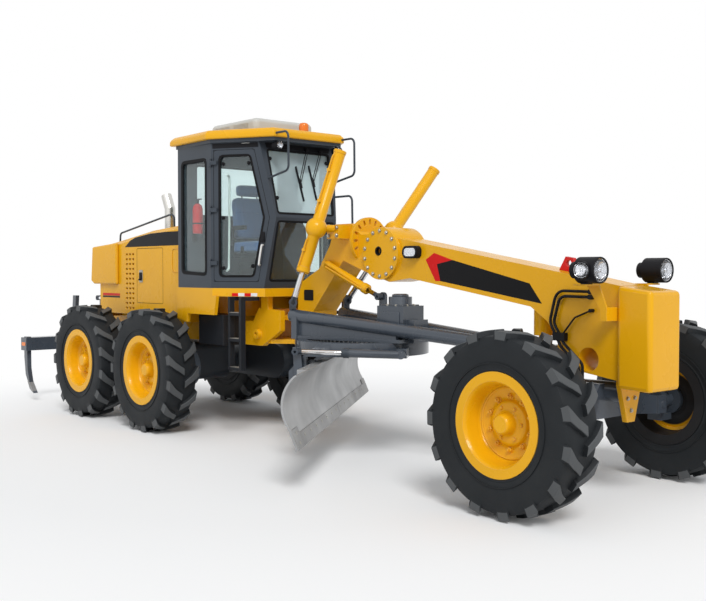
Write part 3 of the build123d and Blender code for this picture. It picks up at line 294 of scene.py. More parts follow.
film = step(dust, "Mix", [("data_type", "RGBA")])
wire(dust, (where, "Object", parts, 0), (parts, "Z", low_down, "Value"),
     (given, "Top", low_down, "From Max"), (facing, "Normal", upward, 0), (upward, "Z", lying, "Value"),
     (where, "Object", clouds, "Vector"), (clouds, "Fac", uneven, "Value"), (low_down, "Result", first, 0),
     (lying, "Result", first, 1), (first, 0, second, 0), (uneven, "Result", second, 1),
     (second, 0, third, 0), (given, "Amount", third, 1), (third, 0, film, "Factor"),
     (given, "Color", film, "A"), (given, "Dust", film, "B"), (film, "Result", out, "Color"),
     (third, 0, out, "Mask"))

# %% [markdown]
# **Tone.** A large panel is never one flat colour. Slow noise shifts it a few percent towards a second,
# darker tone of its own.

# %% Group: tone
tone, given, out = new_group(
    "tone", [("Color", (0.5, 0.5, 0.5, 1)), ("Second", (0.4, 0.4, 0.4, 1)), ("Scale", 2.0), ("Amount", 0.4)],
    [("Color", "NodeSocketColor")],
)
where = step(tone, "TexCoord")
clouds = step(tone, "TexNoise", Detail=4.0, Roughness=0.55)
shift = step(tone, "MapRange", From_Min=0.35, From_Max=0.68)
amount = step(tone, "Math", [("operation", "MULTIPLY")])
mixed = step(tone, "Mix", [("data_type", "RGBA")])
wire(tone, (where, "Object", clouds, "Vector"), (given, "Scale", clouds, "Scale"),
     (clouds, "Fac", shift, "Value"), (shift, "Result", amount, 0), (given, "Amount", amount, 1),
     (amount, 0, mixed, "Factor"), (given, "Color", mixed, "A"), (given, "Second", mixed, "B"),
     (mixed, "Result", out, "Color"))

# %% [markdown]
# ** Masks by place.** Some nodes carry two finishes: a rim is yellow outboard and black inboard, where the black
# is painted shade, and a chrome rod ends in a painted eye. Splitting the mesh would change the imported
# piece, so a mask in the material tells the two parts by where they are. One group is white near a point, the
# other is white close to the middle plane.

# %% Groups: near a point, and inboard of a plane
near_point, given, out = new_group(
    "near a point", [("Point", (0.0, 0.0, 0.0)), ("Radius", 0.05)], [("Mask", "NodeSocketFloat")]
)
where = step(near_point, "TexCoord")
away = step(near_point, "VectorMath", [("operation", "DISTANCE")])
within = step(near_point, "Math", [("operation", "LESS_THAN")])
wire(near_point, (where, "Object", away, 0), (given, "Point", away, 1), (away, "Value", within, 0),
     (given, "Radius", within, 1), (within, 0, out, "Mask"))

inboard, given, out = new_group("inboard", [("Outer", 1.0), ("Inner", 0.9)], [("Mask", "NodeSocketFloat")])
where = step(inboard, "TexCoord")
parts = step(inboard, "SeparateXYZ")
off_middle = step(inboard, "Math", [("operation", "ABSOLUTE")])
change = step(inboard, "MapRange")
wire(inboard, (where, "Object", parts, 0), (parts, "Y", off_middle, 0), (off_middle, 0, change, "Value"),
     (given, "Outer", change, "From Min"), (given, "Inner", change, "From Max"),
     (change, "Result", out, "Mask"))

# %% [markdown]
# ** Haze.** Panes carry a thin film of dust, and the side panes show little of it. The upper front pane leans
# towards the sky and looks milky; that milky film is a painted reflection of the sky. The group gives one
# amount to what lies ahead of a plane and above a height, and another to the rest.

# %% Group: haze
haze, given, out = new_group(
    "haze", [("Start", 0.0), ("Low", 0.0), ("Side", 0.03), ("Front", 0.03)], [("Amount", "NodeSocketFloat")]
)
where = step(haze, "TexCoord")
parts = step(haze, "SeparateXYZ")
forward = step(haze, "Math", [("operation", "GREATER_THAN")])
above = step(haze, "Math", [("operation", "GREATER_THAN")])
both = step(haze, "Math", [("operation", "MULTIPLY")])
share = step(haze, "MapRange")
wire(haze, (where, "Object", parts, 0), (parts, "X", forward, 0), (given, "Start", forward, 1),
     (parts, "Z", above, 0), (given, "Low", above, 1), (forward, 0, both, 0), (above, 0, both, 1),
     (both, 0, share, "Value"), (given, "Side", share, "To Min"), (given, "Front", share, "To Max"),
     (share, "Result", out, "Amount"))
print("groups:", [g.name for g in bpy.data.node_groups])

# %% [markdown]
# ## Finishes
# Every finish is the same short chain: tone, then bare metal at the edges, then dust, into Base Color, and
# grain into Roughness and Bump. What differs between paint, rubber, cast iron and plastic is only values,
# so one function with a table of them is clearer than a dozen hand-made trees.


# %% The finish function
def place_group(tree, group, **values):
    node = tree.nodes.new("ShaderNodeGroup")
    node.node_tree = group
    for key, value in values.items():
        node.inputs[key.replace("_", " ")].default_value = value
    return node


def shade(colour, factor):
    return tuple(c * factor for c in colour[:3]) + (1,)


def finish(name, colour, low, high, metal=0.0, coat=0.0, peel=300.0, bump=0.05, wear=0.0,
           bare=(0.35, 0.34, 0.33), wear_radius=0.005, dirt=0.15, dirt_top=1.2, second=0.82, tone_scale=2.0,
           specular=0.3):
    """Material of one finish: colour with tone, worn edges and dust, roughness from low to high."""
    material = bpy.data.materials.new(name)
    material.use_nodes = True
    tree = material.node_tree
    surface = tree.nodes["Principled BSDF"]
    tint = place_group(tree, tone, Color=shade(colour, 1), Second=shade(colour, second), Scale=tone_scale,
                       Amount=0.6)
    film = place_group(tree, dust, Amount=dirt, Top=dirt_top)
    skin = place_group(tree, grain, Scale=peel, Low=low, High=high)
    relief = step(tree, "Bump", Strength=bump, Distance=0.002)
    if wear:
        worn = place_group(tree, edge_wear, Radius=wear_radius, Amount=wear)
        rubbed = step(tree, "Mix", [("data_type", "RGBA")])
        rubbed.inputs["B"].default_value = shade(bare, 1)
        wire(tree, (worn, "Mask", rubbed, "Factor"), (tint, "Color", rubbed, "A"),
             (rubbed, "Result", film, "Color"))
    else:
        wire(tree, (tint, "Color", film, "Color"))
    wire(tree, (film, "Color", surface, "Base Color"), (skin, "Roughness", surface, "Roughness"),
         (skin, "Height", relief, "Height"), (relief, "Normal", surface, "Normal"))
    surface.inputs["Metallic"].default_value = metal
    surface.inputs["Coat Weight"].default_value = coat
    surface.inputs["Coat Roughness"].default_value = 0.08
    surface.inputs["Specular IOR Level"].default_value = specular
    return material


# %% Paints
yellow, slate, worn_slate = (0.77, 0.385, 0.004), (0.040, 0.050, 0.064), (0.16, 0.17, 0.18)
# each line: finish, colour, roughness from and to, then what differs from the defaults
table = [
    ("yellow_paint", yellow, 0.22, 0.34,
     dict(coat=0.08, wear=0.25, bump=0.02, second=0.92, dirt=0.03, specular=0.22)),
    ("barrel_paint", yellow, 0.24, 0.32,
     dict(coat=0.08, peel=60, bump=0.01, second=0.95, dirt=0.02, specular=0.22)),
    ("slate_paint", slate, 0.30, 0.46, dict(coat=0.04, wear=0.2, bare=worn_slate, dirt=0.06, specular=0.25)),
    ("pale_grey_paint", (0.56, 0.56, 0.53), 0.4, 0.55, dict(wear=0.15, dirt=0.08)),
    ("red_paint", (0.62, 0.010, 0.008), 0.28, 0.4, dict(coat=0.1, wear=0.25, specular=0.2, dirt=0.03)),
    # slate darker than the paint, for the ladders: painted shade, for the shadow they stand in
    ("dark_slate", (0.016, 0.018, 0.022), 0.35, 0.5,
     dict(wear=0.2, bare=(0.10, 0.10, 0.11), dirt=0.04, specular=0.2)),
    # glossier slate for the work gear; its colour is lighter than the paint as a painted reflection of the
    # sky
    ("gear_slate", (0.050, 0.062, 0.080), 0.22, 0.36,
     dict(coat=0.35, wear=0.2, bare=worn_slate, dirt=0.05, specular=0.4)),
    ("white_enamel", (0.75, 0.75, 0.74), 0.3, 0.4, dict(coat=0.2, dirt=0.02)),
    ("decal_black", (0.005, 0.005, 0.006), 0.25, 0.35, dict(bump=0.0, dirt=0.0, specular=0.12)),
    ("decal_red", (0.66, 0.010, 0.010), 0.25, 0.35, dict(bump=0.0, dirt=0.0, specular=0.12)),
]
finishes = {name: finish(name, *values, **more) for name, *values, more in table}
print(len(finishes), "paints and films")

# %% [markdown]
# Bare metal is the same chain with Metallic up. Rubber and plastic have a low specular value, because a
# black that mirrors the white studio would look grey. A tyre gets two rubbers: a nearly black one, and a
# paler, dustier one for the tops of the lugs, which touch the ground.

# %% Metals, rubber and plastics
table = [
    ("engine_iron", (0.05, 0.05, 0.055), 0.5, 0.7, dict(metal=0.3, peel=120, bump=0.2)),
    ("bright_steel", (0.62, 0.61, 0.58), 0.28, 0.42, dict(metal=1.0, dirt=0.05)),
    ("blade_steel", (0.37, 0.375, 0.38), 0.30, 0.46,
     dict(metal=0.5, wear=0.4, bare=(0.6, 0.6, 0.6), dirt=0.05, second=0.62, tone_scale=1.6, bump=0.04)),
    ("steel_edge", (0.30, 0.30, 0.30), 0.35, 0.55,
     dict(metal=0.6, wear=0.5, bare=(0.5, 0.49, 0.47), dirt=0.05, second=0.6)),
    ("chrome_rod", (0.8, 0.8, 0.81), 0.08, 0.14, dict(metal=1.0, bump=0.0, dirt=0.0)),
    ("zinc_steel", (0.42, 0.40, 0.35), 0.35, 0.5, dict(metal=0.9, dirt=0.1)),
    ("lens_silver", (0.82, 0.83, 0.85), 0.06, 0.12, dict(metal=1.0, bump=0.0, dirt=0.0)),
    ("amber_plastic", (0.85, 0.20, 0.006), 0.12, 0.2, dict(coat=0.3, bump=0.0, dirt=0.0)),
    ("black_plastic", (0.008, 0.008, 0.010), 0.42, 0.6, dict(peel=600, bump=0.08, dirt=0.02, specular=0.15)),
    ("tyre_rubber", (0.013, 0.0155, 0.018), 0.55, 0.72,
     dict(peel=500, bump=0.12, dirt=0.04, dirt_top=1.0, second=0.75, specular=0.22)),
    ("tread_top", (0.075, 0.080, 0.084), 0.5, 0.65, dict(peel=400, bump=0.1, dirt=0.05, second=0.7)),
    ("seal_rubber", (0.006, 0.006, 0.007), 0.55, 0.7, dict(bump=0.1, dirt=0.0, specular=0.15)),
    ("dark_gap", (0.004, 0.004, 0.004), 0.8, 0.9, dict(bump=0.0, dirt=0.0, specular=0.05)),
]
finishes.update({name: finish(name, *values, **more) for name, *values, more in table})
print(len(finishes), "finishes")

# %% [markdown]
# ** Two finishes on one node.** The well behind the rims' disc lies in deep shade on the real wheel, and that
# shade is painted here: the rims are yellow on the side that faces out and black inboard. A finish is copied,
# and a mask mixes the second look into its colour, metal and roughness. The rods of the cylinders get theirs
# further down, where their eyes are known.


# %% Parted finishes and the rims' paint
def parted(name, base, inner, metal, rough, group, **values):
    """Copy of a finish whose colour, metal and roughness change where a group's mask is white."""
    material = finishes[base].copy()
    material.name = name
    tree = material.node_tree
    surface = tree.nodes["Principled BSDF"]
    mask = place_group(tree, group, **values).outputs["Mask"]
    colour = step(tree, "Mix", [("data_type", "RGBA")])
    colour.inputs["B"].default_value = shade(inner, 1)
    for socket, value in (("Metallic", metal), ("Roughness", rough)):
        node = step(tree, "Mix")
        node.inputs["B"].default_value = value
        link = surface.inputs[socket].links
        if link:
            tree.links.new(link[0].from_socket, node.inputs["A"])
        else:
            node.inputs["A"].default_value = surface.inputs[socket].default_value
        tree.links.new(mask, node.inputs["Factor"])
        wire(tree, (node, "Result", surface, socket))
    tree.links.new(surface.inputs["Base Color"].links[0].from_socket, colour.inputs["A"])
    tree.links.new(mask, colour.inputs["Factor"])
    wire(tree, (colour, "Result", surface, "Base Color"))
    return material


# the disc's inboard face, and how far the change from yellow paint to the black painted shade reaches
disc_back, blend_width = half_track - 0.016, 0.004
finishes["rim_paint_and_painted_shade"] = parted("rim_paint_and_painted_shade", "yellow_paint", (0.010, 0.010, 0.011), 0.0, 0.7, inboard,
                               Outer=disc_back, Inner=disc_back - blend_width)
print("rims are painted outboard of", round(disc_back, 3))

# %% [markdown]
# ** Glass.** The cab's panes are solid sheets 8 mm thick. True refraction through solid glass is right, but
# it leaves the cab dark, because light that is bent on its way in isn't traced back to a lamp. The usual
# cure is used here: for shadow rays the pane is plainly see-through, for all others it is glass. Over that
# lies the haze, a diffuse film mixed in by its group's amount: thin dust on the side panes, and on the upper
# front pane a painted reflection of the sky.


# %% Glass, haze and lens
def glass(name, colour, roughness):
    """Clear solid glass that lets shadow rays straight through."""
    material = bpy.data.materials.new(name)
    material.use_nodes = True
    tree = material.node_tree
    surface = tree.nodes["Principled BSDF"]
    surface.inputs["Base Color"].default_value = colour
    surface.inputs["Transmission Weight"].default_value = 1.0
    surface.inputs["Roughness"].default_value = roughness
    surface.inputs["IOR"].default_value = 1.45
    clear = step(tree, "BsdfTransparent")
    clear.inputs["Color"].default_value = colour
    ray = step(tree, "LightPath")
    pick = step(tree, "MixShader")
    wire(tree, (ray, "Is Shadow Ray", pick, 0), (surface, 0, pick, 1), (clear, 0, pick, 2))
    tree.links.new(pick.outputs[0], tree.nodes["Material Output"].inputs["Surface"])
    return material


def add_haze(material, front):
    """Pale diffuse film: thin dust on the side panes, and this strong on the upper front pane as a painted
    sky reflection.
    """
    tree = material.node_tree
    film_coat = step(tree, "BsdfDiffuse")
    film_coat.inputs["Color"].default_value = haze_and_reflection_colour
    amount = place_group(tree, haze, Start=pane_start, Low=pane_low, Side=side_haze, Front=front)
    output = tree.nodes["Material Output"]
    blend_in = step(tree, "MixShader")
    wire(tree, (amount, "Amount", blend_in, 0))
    tree.links.new(output.inputs["Surface"].links[0].from_socket, blend_in.inputs[1])
    wire(tree, (film_coat, 0, blend_in, 2), (blend_in, 0, output, "Surface"))
    return material


pane_tint, haze_and_reflection_colour = (0.80, 0.90, 0.90, 1), (0.50, 0.60, 0.63, 1)
# the upper front pane lies ahead of this station and above this height
pane_start, pane_low = ahead(2.60), 2.24
# thin dust on the side panes; on the upper front pane the stronger pale film is a painted reflection of the
# sky
side_haze, front_painted_reflection = 0.03, 0.50
finishes["clear_glass"] = add_haze(glass("clear_glass", pane_tint, 0.0), side_haze)
finishes["cab_pane_glass"] = add_haze(glass("cab_pane_glass", pane_tint, 0.0), front_painted_reflection)
finishes["lens_glass"] = glass("lens_glass", (0.97, 0.98, 1.0, 1), 0.03)
print("glass with", side_haze, "haze at the sides and", front_painted_reflection, "in front")

# %% [markdown]
# **Seat cloth.** Woven cloth has threads that cross. Two wave textures at right angles, multiplied, give the
# little humps; they drive the bump, and the sheen lifts the cloth where it is seen at a low angle.

# %% Woven cloth
cloth = bpy.data.materials.new("blue_fabric")
cloth.use_nodes = True
tree = cloth.node_tree
surface = tree.nodes["Principled BSDF"]
where = step(tree, "TexCoord")
threads = []
for direction in ("X", "Y", "Z"):
    wave = step(tree, "TexWave", [("bands_direction", direction)], Scale=160.0, Distortion=0.4)
    wire(tree, (where, "Object", wave, "Vector"))
    threads.append(wave)
weave = step(tree, "Math", [("operation", "MULTIPLY")])
weave_all = step(tree, "Math", [("operation", "MAXIMUM")])
wire(tree, (threads[0], "Fac", weave, 0), (threads[1], "Fac", weave, 1), (weave, 0, weave_all, 0),
     (threads[2], "Fac", weave_all, 1))
relief = step(tree, "Bump", Strength=0.35, Distance=0.001)
wire(tree, (weave_all, 0, relief, "Height"), (relief, "Normal", surface, "Normal"))
colours = step(tree, "Mix", [("data_type", "RGBA")])
colours.inputs["A"].default_value = (0.03, 0.085, 0.23, 1)
colours.inputs["B"].default_value = (0.06, 0.15, 0.36, 1)
wire(tree, (weave_all, 0, colours, "Factor"), (colours, "Result", surface, "Base Color"))
surface.inputs["Roughness"].default_value = 0.85
surface.inputs["Sheen Weight"].default_value = 0.3
finishes["blue_fabric"] = cloth
print(len(threads), "sets of threads woven")

# %% [markdown]
# ## Dressing the imported nodes
# The solids keep their shape. Sheet metal and castings have no knife edges, so a Bevel modifier rounds each
# one by a few millimetres. The imported mesh is split at its hard edges, so a Weld comes first, and a planar
# Decimate joins the triangles of a flat face, which would otherwise hold the bevel back. Each node takes the
# finish of its packed slot, apart from a few: some look different on the real machine, and some carry painted
# light. The rims' black inboard side and the ladders' darker slate are painted shade, the work gear's lighter
# slate is partly a painted sky reflection, and the milky upper front pane is a painted reflection.

# %% Materials on the nodes
finish_of = {s["node"]: s["material_slot"] for s in frame["record"]["subparts"]}
special = {
    "barrel_paint": ("lift_left_barrel", "lift_right_barrel", "shift_barrel"),
    # work gear: glossy slate, lightened as a painted sky reflection
    "gear_slate": ("drawbar", "circle", "blade_carrier", "tilt_barrel", "front_axle", "ripper"),
    # rims: yellow outboard, and black inboard as painted shade
    "rim_paint_and_painted_shade": [name for name in frame["nodes"] if name.startswith("rim_")],
    # ladders: darker slate as painted shade
    "dark_slate": ("ladders",),
    "cab_pane_glass": ("cab_glass",),
}
for finish_name, names in special.items():
    finish_of.update(dict.fromkeys(names, finish_name))
for name, node in frame["nodes"].items():
    node.data.materials.clear()
    node.data.materials.append(finishes[finish_of[name]])
print(len(frame["nodes"]), "nodes painted")

# %% Edge rounding on the nodes
rounding = {
    "hood": 0.010, "rear_cowl": 0.018, "front_weight": 0.028, "boom": 0.006, "cab_roof": 0.014,
    "air_conditioner": 0.016, "cab_base": 0.006, "cab_frame": 0.004, "rear_chassis": 0.004,
    "ladders": 0.004, "drawbar": 0.004, "circle": 0.003, "blade_carrier": 0.003, "ripper": 0.005,
    "rear_axle": 0.012, "front_axle": 0.006, "door_right": 0.004, "door_left": 0.004,
    "lamp_brackets": 0.002, "lifting_eye": 0.003, "engine_block": 0.01, "steering_console": 0.006,
}
weld_distance = 0.00005
for name, node in frame["nodes"].items():
    weld = node.modifiers.new("weld", "WELD")
    weld.merge_threshold = weld_distance
    if name in rounding:
        flat = node.modifiers.new("join flat faces", "DECIMATE")
        flat.decimate_type = "DISSOLVE"
        flat.angle_limit = radians(0.5)
        bevel = node.modifiers.new("round edges", "BEVEL")
        bevel.width = rounding[name]
        bevel.segments = 2
        bevel.limit_method = "ANGLE"
        bevel.angle_limit = radians(35)
print(len(rounding), "nodes with rounded edges")

# %% [markdown]
# ## Two ways to make a form
# Nearly everything that is added has one of two forms: an outline pushed out to a thickness, like a plate,
# a seal or a decal, or a profile turned round an axis, like a nut, a lens or a pipe union. Both helpers work
# in a frame, a matrix that says where the piece's own u, v and w axes point. Placing the frame once keeps
# the outline in plain numbers, which is easier to read than points already turned into place.


# %% Helpers: frames, outlines and turned profiles
def frame_at(origin, u, v):
    """Matrix of a frame with its u and v axes along these directions; w is square to both."""
    u = Vector(u).normalized()
    w = u.cross(Vector(v)).normalized()
    v = w.cross(u)
    turn = Matrix((u, v, w)).transposed().to_4x4()
    return Matrix.Translation(origin) @ turn


def prism(bm, place, outline, low, high):
    """Closed plate: the outline in u and v, from low to high along w."""
    rings = [[bm.verts.new(place @ Vector((u, v, w))) for u, v in outline] for w in (low, high)]
    bm.faces.new(rings[0])
    bm.faces.new(rings[1])
    for i in range(len(outline)):
        j = (i + 1) % len(outline)
        bm.faces.new((rings[0][i], rings[0][j], rings[1][j], rings[1][i]))


def block(bm, place, size_u, size_v, low, high, corner=0.0):
    """Plate with square or cut corners, centred on the frame."""
    a, b, c = size_u / 2, size_v / 2, corner
    if not c:
        prism(bm, place, [(-a, -b), (a, -b), (a, b), (-a, b)], low, high)
        return
    points = []
    corners = ((a - c, b - c, 0), (c - a, b - c, 90), (c - a, c - b, 180), (a - c, c - b, 270))
    for x, y, start in corners:
        for k in range(4):
            turn = radians(start + 30 * k)
            points.append((x + c * cos(turn), y + c * sin(turn)))
    prism(bm, place, points, low, high)


def turned(bm, place, profile, sides=24, closed=False):
    """Profile of (radius, w) points turned round the frame's w axis; radius 0 makes a point."""
    rings = []
    for radius, w in profile:
        if radius < 1e-6:
            rings.append([bm.verts.new(place @ Vector((0, 0, w)))])
        else:
            turns = [2 * pi * k / sides for k in range(sides)]
            rings.append([
                bm.verts.new(place @ Vector((radius * cos(turn), radius * sin(turn), w))) for turn in turns
            ])
    pairs = list(zip(rings, rings[1:])) + ([(rings[-1], rings[0])] if closed else [])
    for a, b in pairs:
        for k in range(sides):
            m = (k + 1) % sides
            if len(a) == 1:
                bm.faces.new((a[0], b[m], b[k]))
            elif len(b) == 1:
                bm.faces.new((a[k], a[m], b[0]))
            else:
                bm.faces.new((a[k], a[m], b[m], b[k]))


def disc(bm, place, radius, low, high, sides=24):
    """Closed round plate from low to high along w."""
    turned(bm, place, [(0, low), (radius, low), (radius, high), (0, high)], sides)


def hex_bolt(bm, place, across, head, washer=True):
    """Bolt head on a face: a washer and a six-sided head with a chamfered top."""
    if washer:
        disc(bm, place, across * 0.72, 0, head * 0.25, 16)
    r = across / sqrt(3)
    turned(bm, place, [(0, 0), (r, 0), (r, head * 0.8), (r * 0.85, head), (0, head)], 6)


print("helpers for plates, turned forms and bolts ready")

# %% [markdown]
# ## From a mesh to a piece
# Every piece takes the same last steps: faces turned outward, a finish, sharp edges kept sharp while the rest
# is shaded smooth, and a body to ride on, so that it moves with its joint. One function does this for all
# of them, so that no piece is left behind when a door swings or the blade turns.

# %% Helper: a named piece on a body
SIDES = (("right", -1), ("left", 1))
pieces_made = 0


def piece(name, bm, body, finish_name, bevel=0.0, smooth=32, replaces=()):
    """Mesh object from a bmesh: outward faces, sharp edges kept, an even bevel, riding on a body."""
    global pieces_made
    bmesh.ops.recalc_face_normals(bm, faces=bm.faces)
    mesh = bpy.data.meshes.new(name)
    bm.to_mesh(mesh)
    bm.free()
    mesh.materials.append(finishes[finish_name])
    for face in mesh.polygons:
        face.use_smooth = True
    mesh.set_sharp_from_angle(angle=radians(smooth))
    obj = bpy.data.objects.new(name, mesh)
    bpy.context.scene.collection.objects.link(obj)
    if bevel:
        rounder = obj.modifiers.new("round edges", "BEVEL")
        rounder.width = bevel
        rounder.segments = 2
        rounder.limit_method = "ANGLE"
        rounder.angle_limit = radians(smooth)
    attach(obj, body)
    if replaces:
        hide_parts(*replaces)
    pieces_made += 1
    return obj


print("pieces are named for the sides", [name for name, side in SIDES])

# %% [markdown]
# ## Tyres
# Each wheel carries a 24-inch traction tyre with fifteen lugs a side, bent like a chevron and open at the
# middle, so that mud squeezes out. A displaced cylinder would smear the lugs' walls. Here the carcass is
# one turned profile and every lug is its own swept block, set on a curve across the tread, with a foot that
# is wider than its top. The half-rows are a quarter pitch apart, as on the real tyre. The lugs' tops are worn
# and dusty, so those faces take the second material of the mesh.

# %% Tyre measures
low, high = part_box("tyre_rear_right")
tyre_radius = wheel_z
tyre_half = (high.y - low.y) / 2
carcass_radius = tyre_radius - 0.037
bore_radius, rim_lip, bead_half = 0.3025, 0.3665, 0.1378
lugs_a_row, lug_steps = 15, 7
lug_start, lug_reach, lug_flare = 0.004, 0.1625, 0.010
# lengths along the tread are turned into angles at this radius
tread_radius = 0.655
print("tyre radius", round(tyre_radius, 4), "half width", round(tyre_half, 4))


# %% Tyre carcass
def carcass_profile():
    """Radius and offset from the middle plane, from one bead over the tread to the other."""
    half = [
        (bore_radius, bead_half), (rim_lip, bead_half), (rim_lip + 0.003, 0.156), (rim_lip + 0.014, 0.159),
        (rim_lip + 0.022, 0.156), (0.402, 0.160), (0.450, 0.168), (0.500, tyre_half - 0.0005),
        (0.540, tyre_half - 0.001), (0.575, 0.168), (0.600, 0.158), (carcass_radius - 0.004, 0.135),
        (carcass_radius, 0.08),
    ]
    return half + [(carcass_radius + 0.001, 0.0)] + [(r, -w) for r, w in reversed(half)]


print("carcass drawn with", len(carcass_profile()), "points")


# %% One lug
def lug(bm, place, row, index):
    """One lug: cross-sections from near the middle to the shoulder, each a foot and a narrower top."""
    pitch_angle = 360 / lugs_a_row
    start = radians(-90 + pitch_angle * (index + row / 4)) - asin(0.114 / tread_radius)
    rings = []
    for k in range(lug_steps + 3):
        share = min(k / lug_steps, 1.0)
        w = lug_start + lug_reach * share
        # straight across at first, then the knuckle at the shoulder turns along the tread
        lead = 0.070 * min(share / 0.62, 1.0) + 0.062 * max(0.0, (share - 0.62) / 0.38)
        thick = 0.072 + 0.034 * max(0.0, (share - 0.45) / 0.55)
        angle = start + lead / tread_radius
        top = tyre_radius - 0.0008 - 0.006 * share ** 4
        foot = carcass_radius - 0.012
        if k > lug_steps:
            # the lug's end runs down the shoulder and thins out on the sidewall
            down = (k - lug_steps) / 2
            w = lug_start + lug_reach + 0.005 * down
            top = top - 0.058 * down
            foot = foot - 0.062 * down
            thick = thick * (1 - 0.12 * down)
        ring = []
        for radius, half_width in ((foot, thick / 2 + lug_flare), (top - 0.005, thick / 2),
                                   (top, thick / 2 - 0.005)):
            for sign in (-1, 1):
                ring.append((radius, angle + sign * half_width / tread_radius))
        order = [ring[0], ring[2], ring[4], ring[5], ring[3], ring[1]]
        # the rows lie on both sides of the middle plane
        rings.append([bm.verts.new(place @ Vector((r * cos(a), r * sin(a), row * w))) for r, a in order])
    for a, b in zip(rings, rings[1:]):
        for i in range(6):
            j = (i + 1) % 6
            wall = bm.faces.new((a[i], a[j], b[j], b[i]))
            # the upper three of the six walls touch the ground: second material
            wall.material_index = 1 if i in (1, 2, 3) else 0
    bm.faces.new(rings[0])
    bm.faces.new(rings[-1])


print("a lug takes", lug_steps + 3, "cross-sections")


# %% Six tyres
WHEELS = [(end, side_name, side) for end in ("rear", "mid", "front") for side_name, side in SIDES]


def make_tyre(end, side_name, side):
    wheel = "%s_%s" % (end, side_name)
    centre = middle("tyre_" + wheel)
    place = Matrix.Translation(centre) @ Matrix(
        ((1, 0, 0, 0), (0, 0, side, 0), (0, 1, 0, 0), (0, 0, 0, 1))
    )
    bm = bmesh.new()
    turned(bm, place, carcass_profile(), 96, closed=True)
    for row in (-1, 1):
        for index in range(lugs_a_row):
            lug(bm, place, row, index)
    # two fine ribs round each sidewall
    for out in (-1, 1):
        foot, top = out * (tyre_half - 0.02), out * (tyre_half - 0.001)
        for radius in (0.425, 0.52):
            turned(bm, place, [(radius - 0.004, foot), (radius - 0.003, top), (radius + 0.003, top),
                               (radius + 0.004, foot)], 96, closed=True)
    tyre = piece("tread_" + wheel, bm, "wheel_" + wheel, "tyre_rubber", smooth=28,
                 replaces=("tyre_" + wheel,))
    tyre.data.materials.append(finishes["tread_top"])


for end, side_name, side in WHEELS:
    make_tyre(end, side_name, side)
print(len(WHEELS), "tyres,", 2 * lugs_a_row, "lugs each")

# %% [markdown]
# ## Wheel hardware
# Ten studs clamp each rim to its hub. They show in the photograph as a ring of nuts round the hub cap. One
# nut is modelled and set ten times round a circle; an array modifier would do it too, but one mesh a wheel
# is lighter. A stiffening ring is rolled into the disc, and the valve stem sits near the rim's edge.

# %% Nuts, stiffening ring and valve
nut_count, nut_circle = 10, 0.186
nut_corner = 0.034 / sqrt(3)
disc_face = -0.006
cap_bolts, cap_circle, cap_face = 6, 0.118, 0.026


def wheel_frame(end, side_name, side):
    """Frame on the wheel's axis whose w axis points outboard."""
    centre = middle("rim_%s_%s" % (end, side_name))
    return frame_at(Vector((centre.x, side * half_track, wheel_z)), (-side, 0, 0), (0, 0, 1))


def make_hardware(end, side_name, side):
    wheel = "%s_%s" % (end, side_name)
    hub = wheel_frame(end, side_name, side)
    bm = bmesh.new()
    for k in range(nut_count):
        turn = 2 * pi * (k + 0.5) / nut_count
        spot = hub @ Matrix.Translation((nut_circle * cos(turn), nut_circle * sin(turn), disc_face))
        disc(bm, spot, 0.026, -0.004, 0.004, 20)
        turned(bm, spot, [(0, 0), (nut_corner, 0), (nut_corner, 0.020), (0.015, 0.024), (0, 0.024)], 6)
        turned(bm, spot, [(0, 0), (0.009, 0), (0.009, 0.036), (0.006, 0.038), (0, 0.038)], 12)
    # stiffening ring rolled into the disc, and the hub cap's bolts
    ring = [(0.236, -0.02), (0.240, 0.014), (0.247, 0.020), (0.254, 0.016), (0.258, -0.02)]
    turned(bm, hub, ring, 72, closed=True)
    for k in range(cap_bolts):
        turn = 2 * pi * k / cap_bolts
        hex_bolt(bm, hub @ Matrix.Translation((cap_circle * cos(turn), cap_circle * sin(turn), cap_face)),
                 0.022, 0.012)
    # valve stem by the rim's edge
    spot = hub @ Matrix.Translation((0, -0.268, 0.0)) @ Matrix.Rotation(radians(20), 4, "X")
    turned(bm, spot, [(0, 0), (0.008, 0), (0.008, 0.02), (0.005, 0.024), (0.005, 0.05), (0, 0.052)], 12)
    piece("nuts_" + wheel, bm, "wheel_" + wheel, "yellow_paint")


for end, side_name, side in WHEELS:
    make_hardware(end, side_name, side)
print(nut_count, "nuts on each of", len(WHEELS), "wheels")

# %% [markdown]
# ## Outlines along the machine
# Panels, seals and stripes lie on upright walls. A rounded outline and a strip that follows it cover most of
# them: a window seal, a hatch's seam and a lamp's bezel are the same band with other numbers. The corner
# arcs are worked out from the corner itself, so only the corners are written down.


# %% Helpers: rounded outlines and bands
def rounded(points, radius, steps=5):
    """Outline with each corner turned into an arc."""
    result = []
    n = len(points)
    for i in range(n):
        here = Vector(points[i])
        a = (Vector(points[i - 1]) - here).normalized()
        b = (Vector(points[(i + 1) % n]) - here).normalized()
        half = a.angle(b) / 2
        back = radius / tan(half)
        centre = here + (a + b).normalized() * (radius / sin(half))
        start, end = here + a * back, here + b * back
        for k in range(steps + 1):
            spoke = (start - centre).lerp(end - centre, k / steps).normalized()
            result.append(tuple(centre + spoke * radius))
    return result


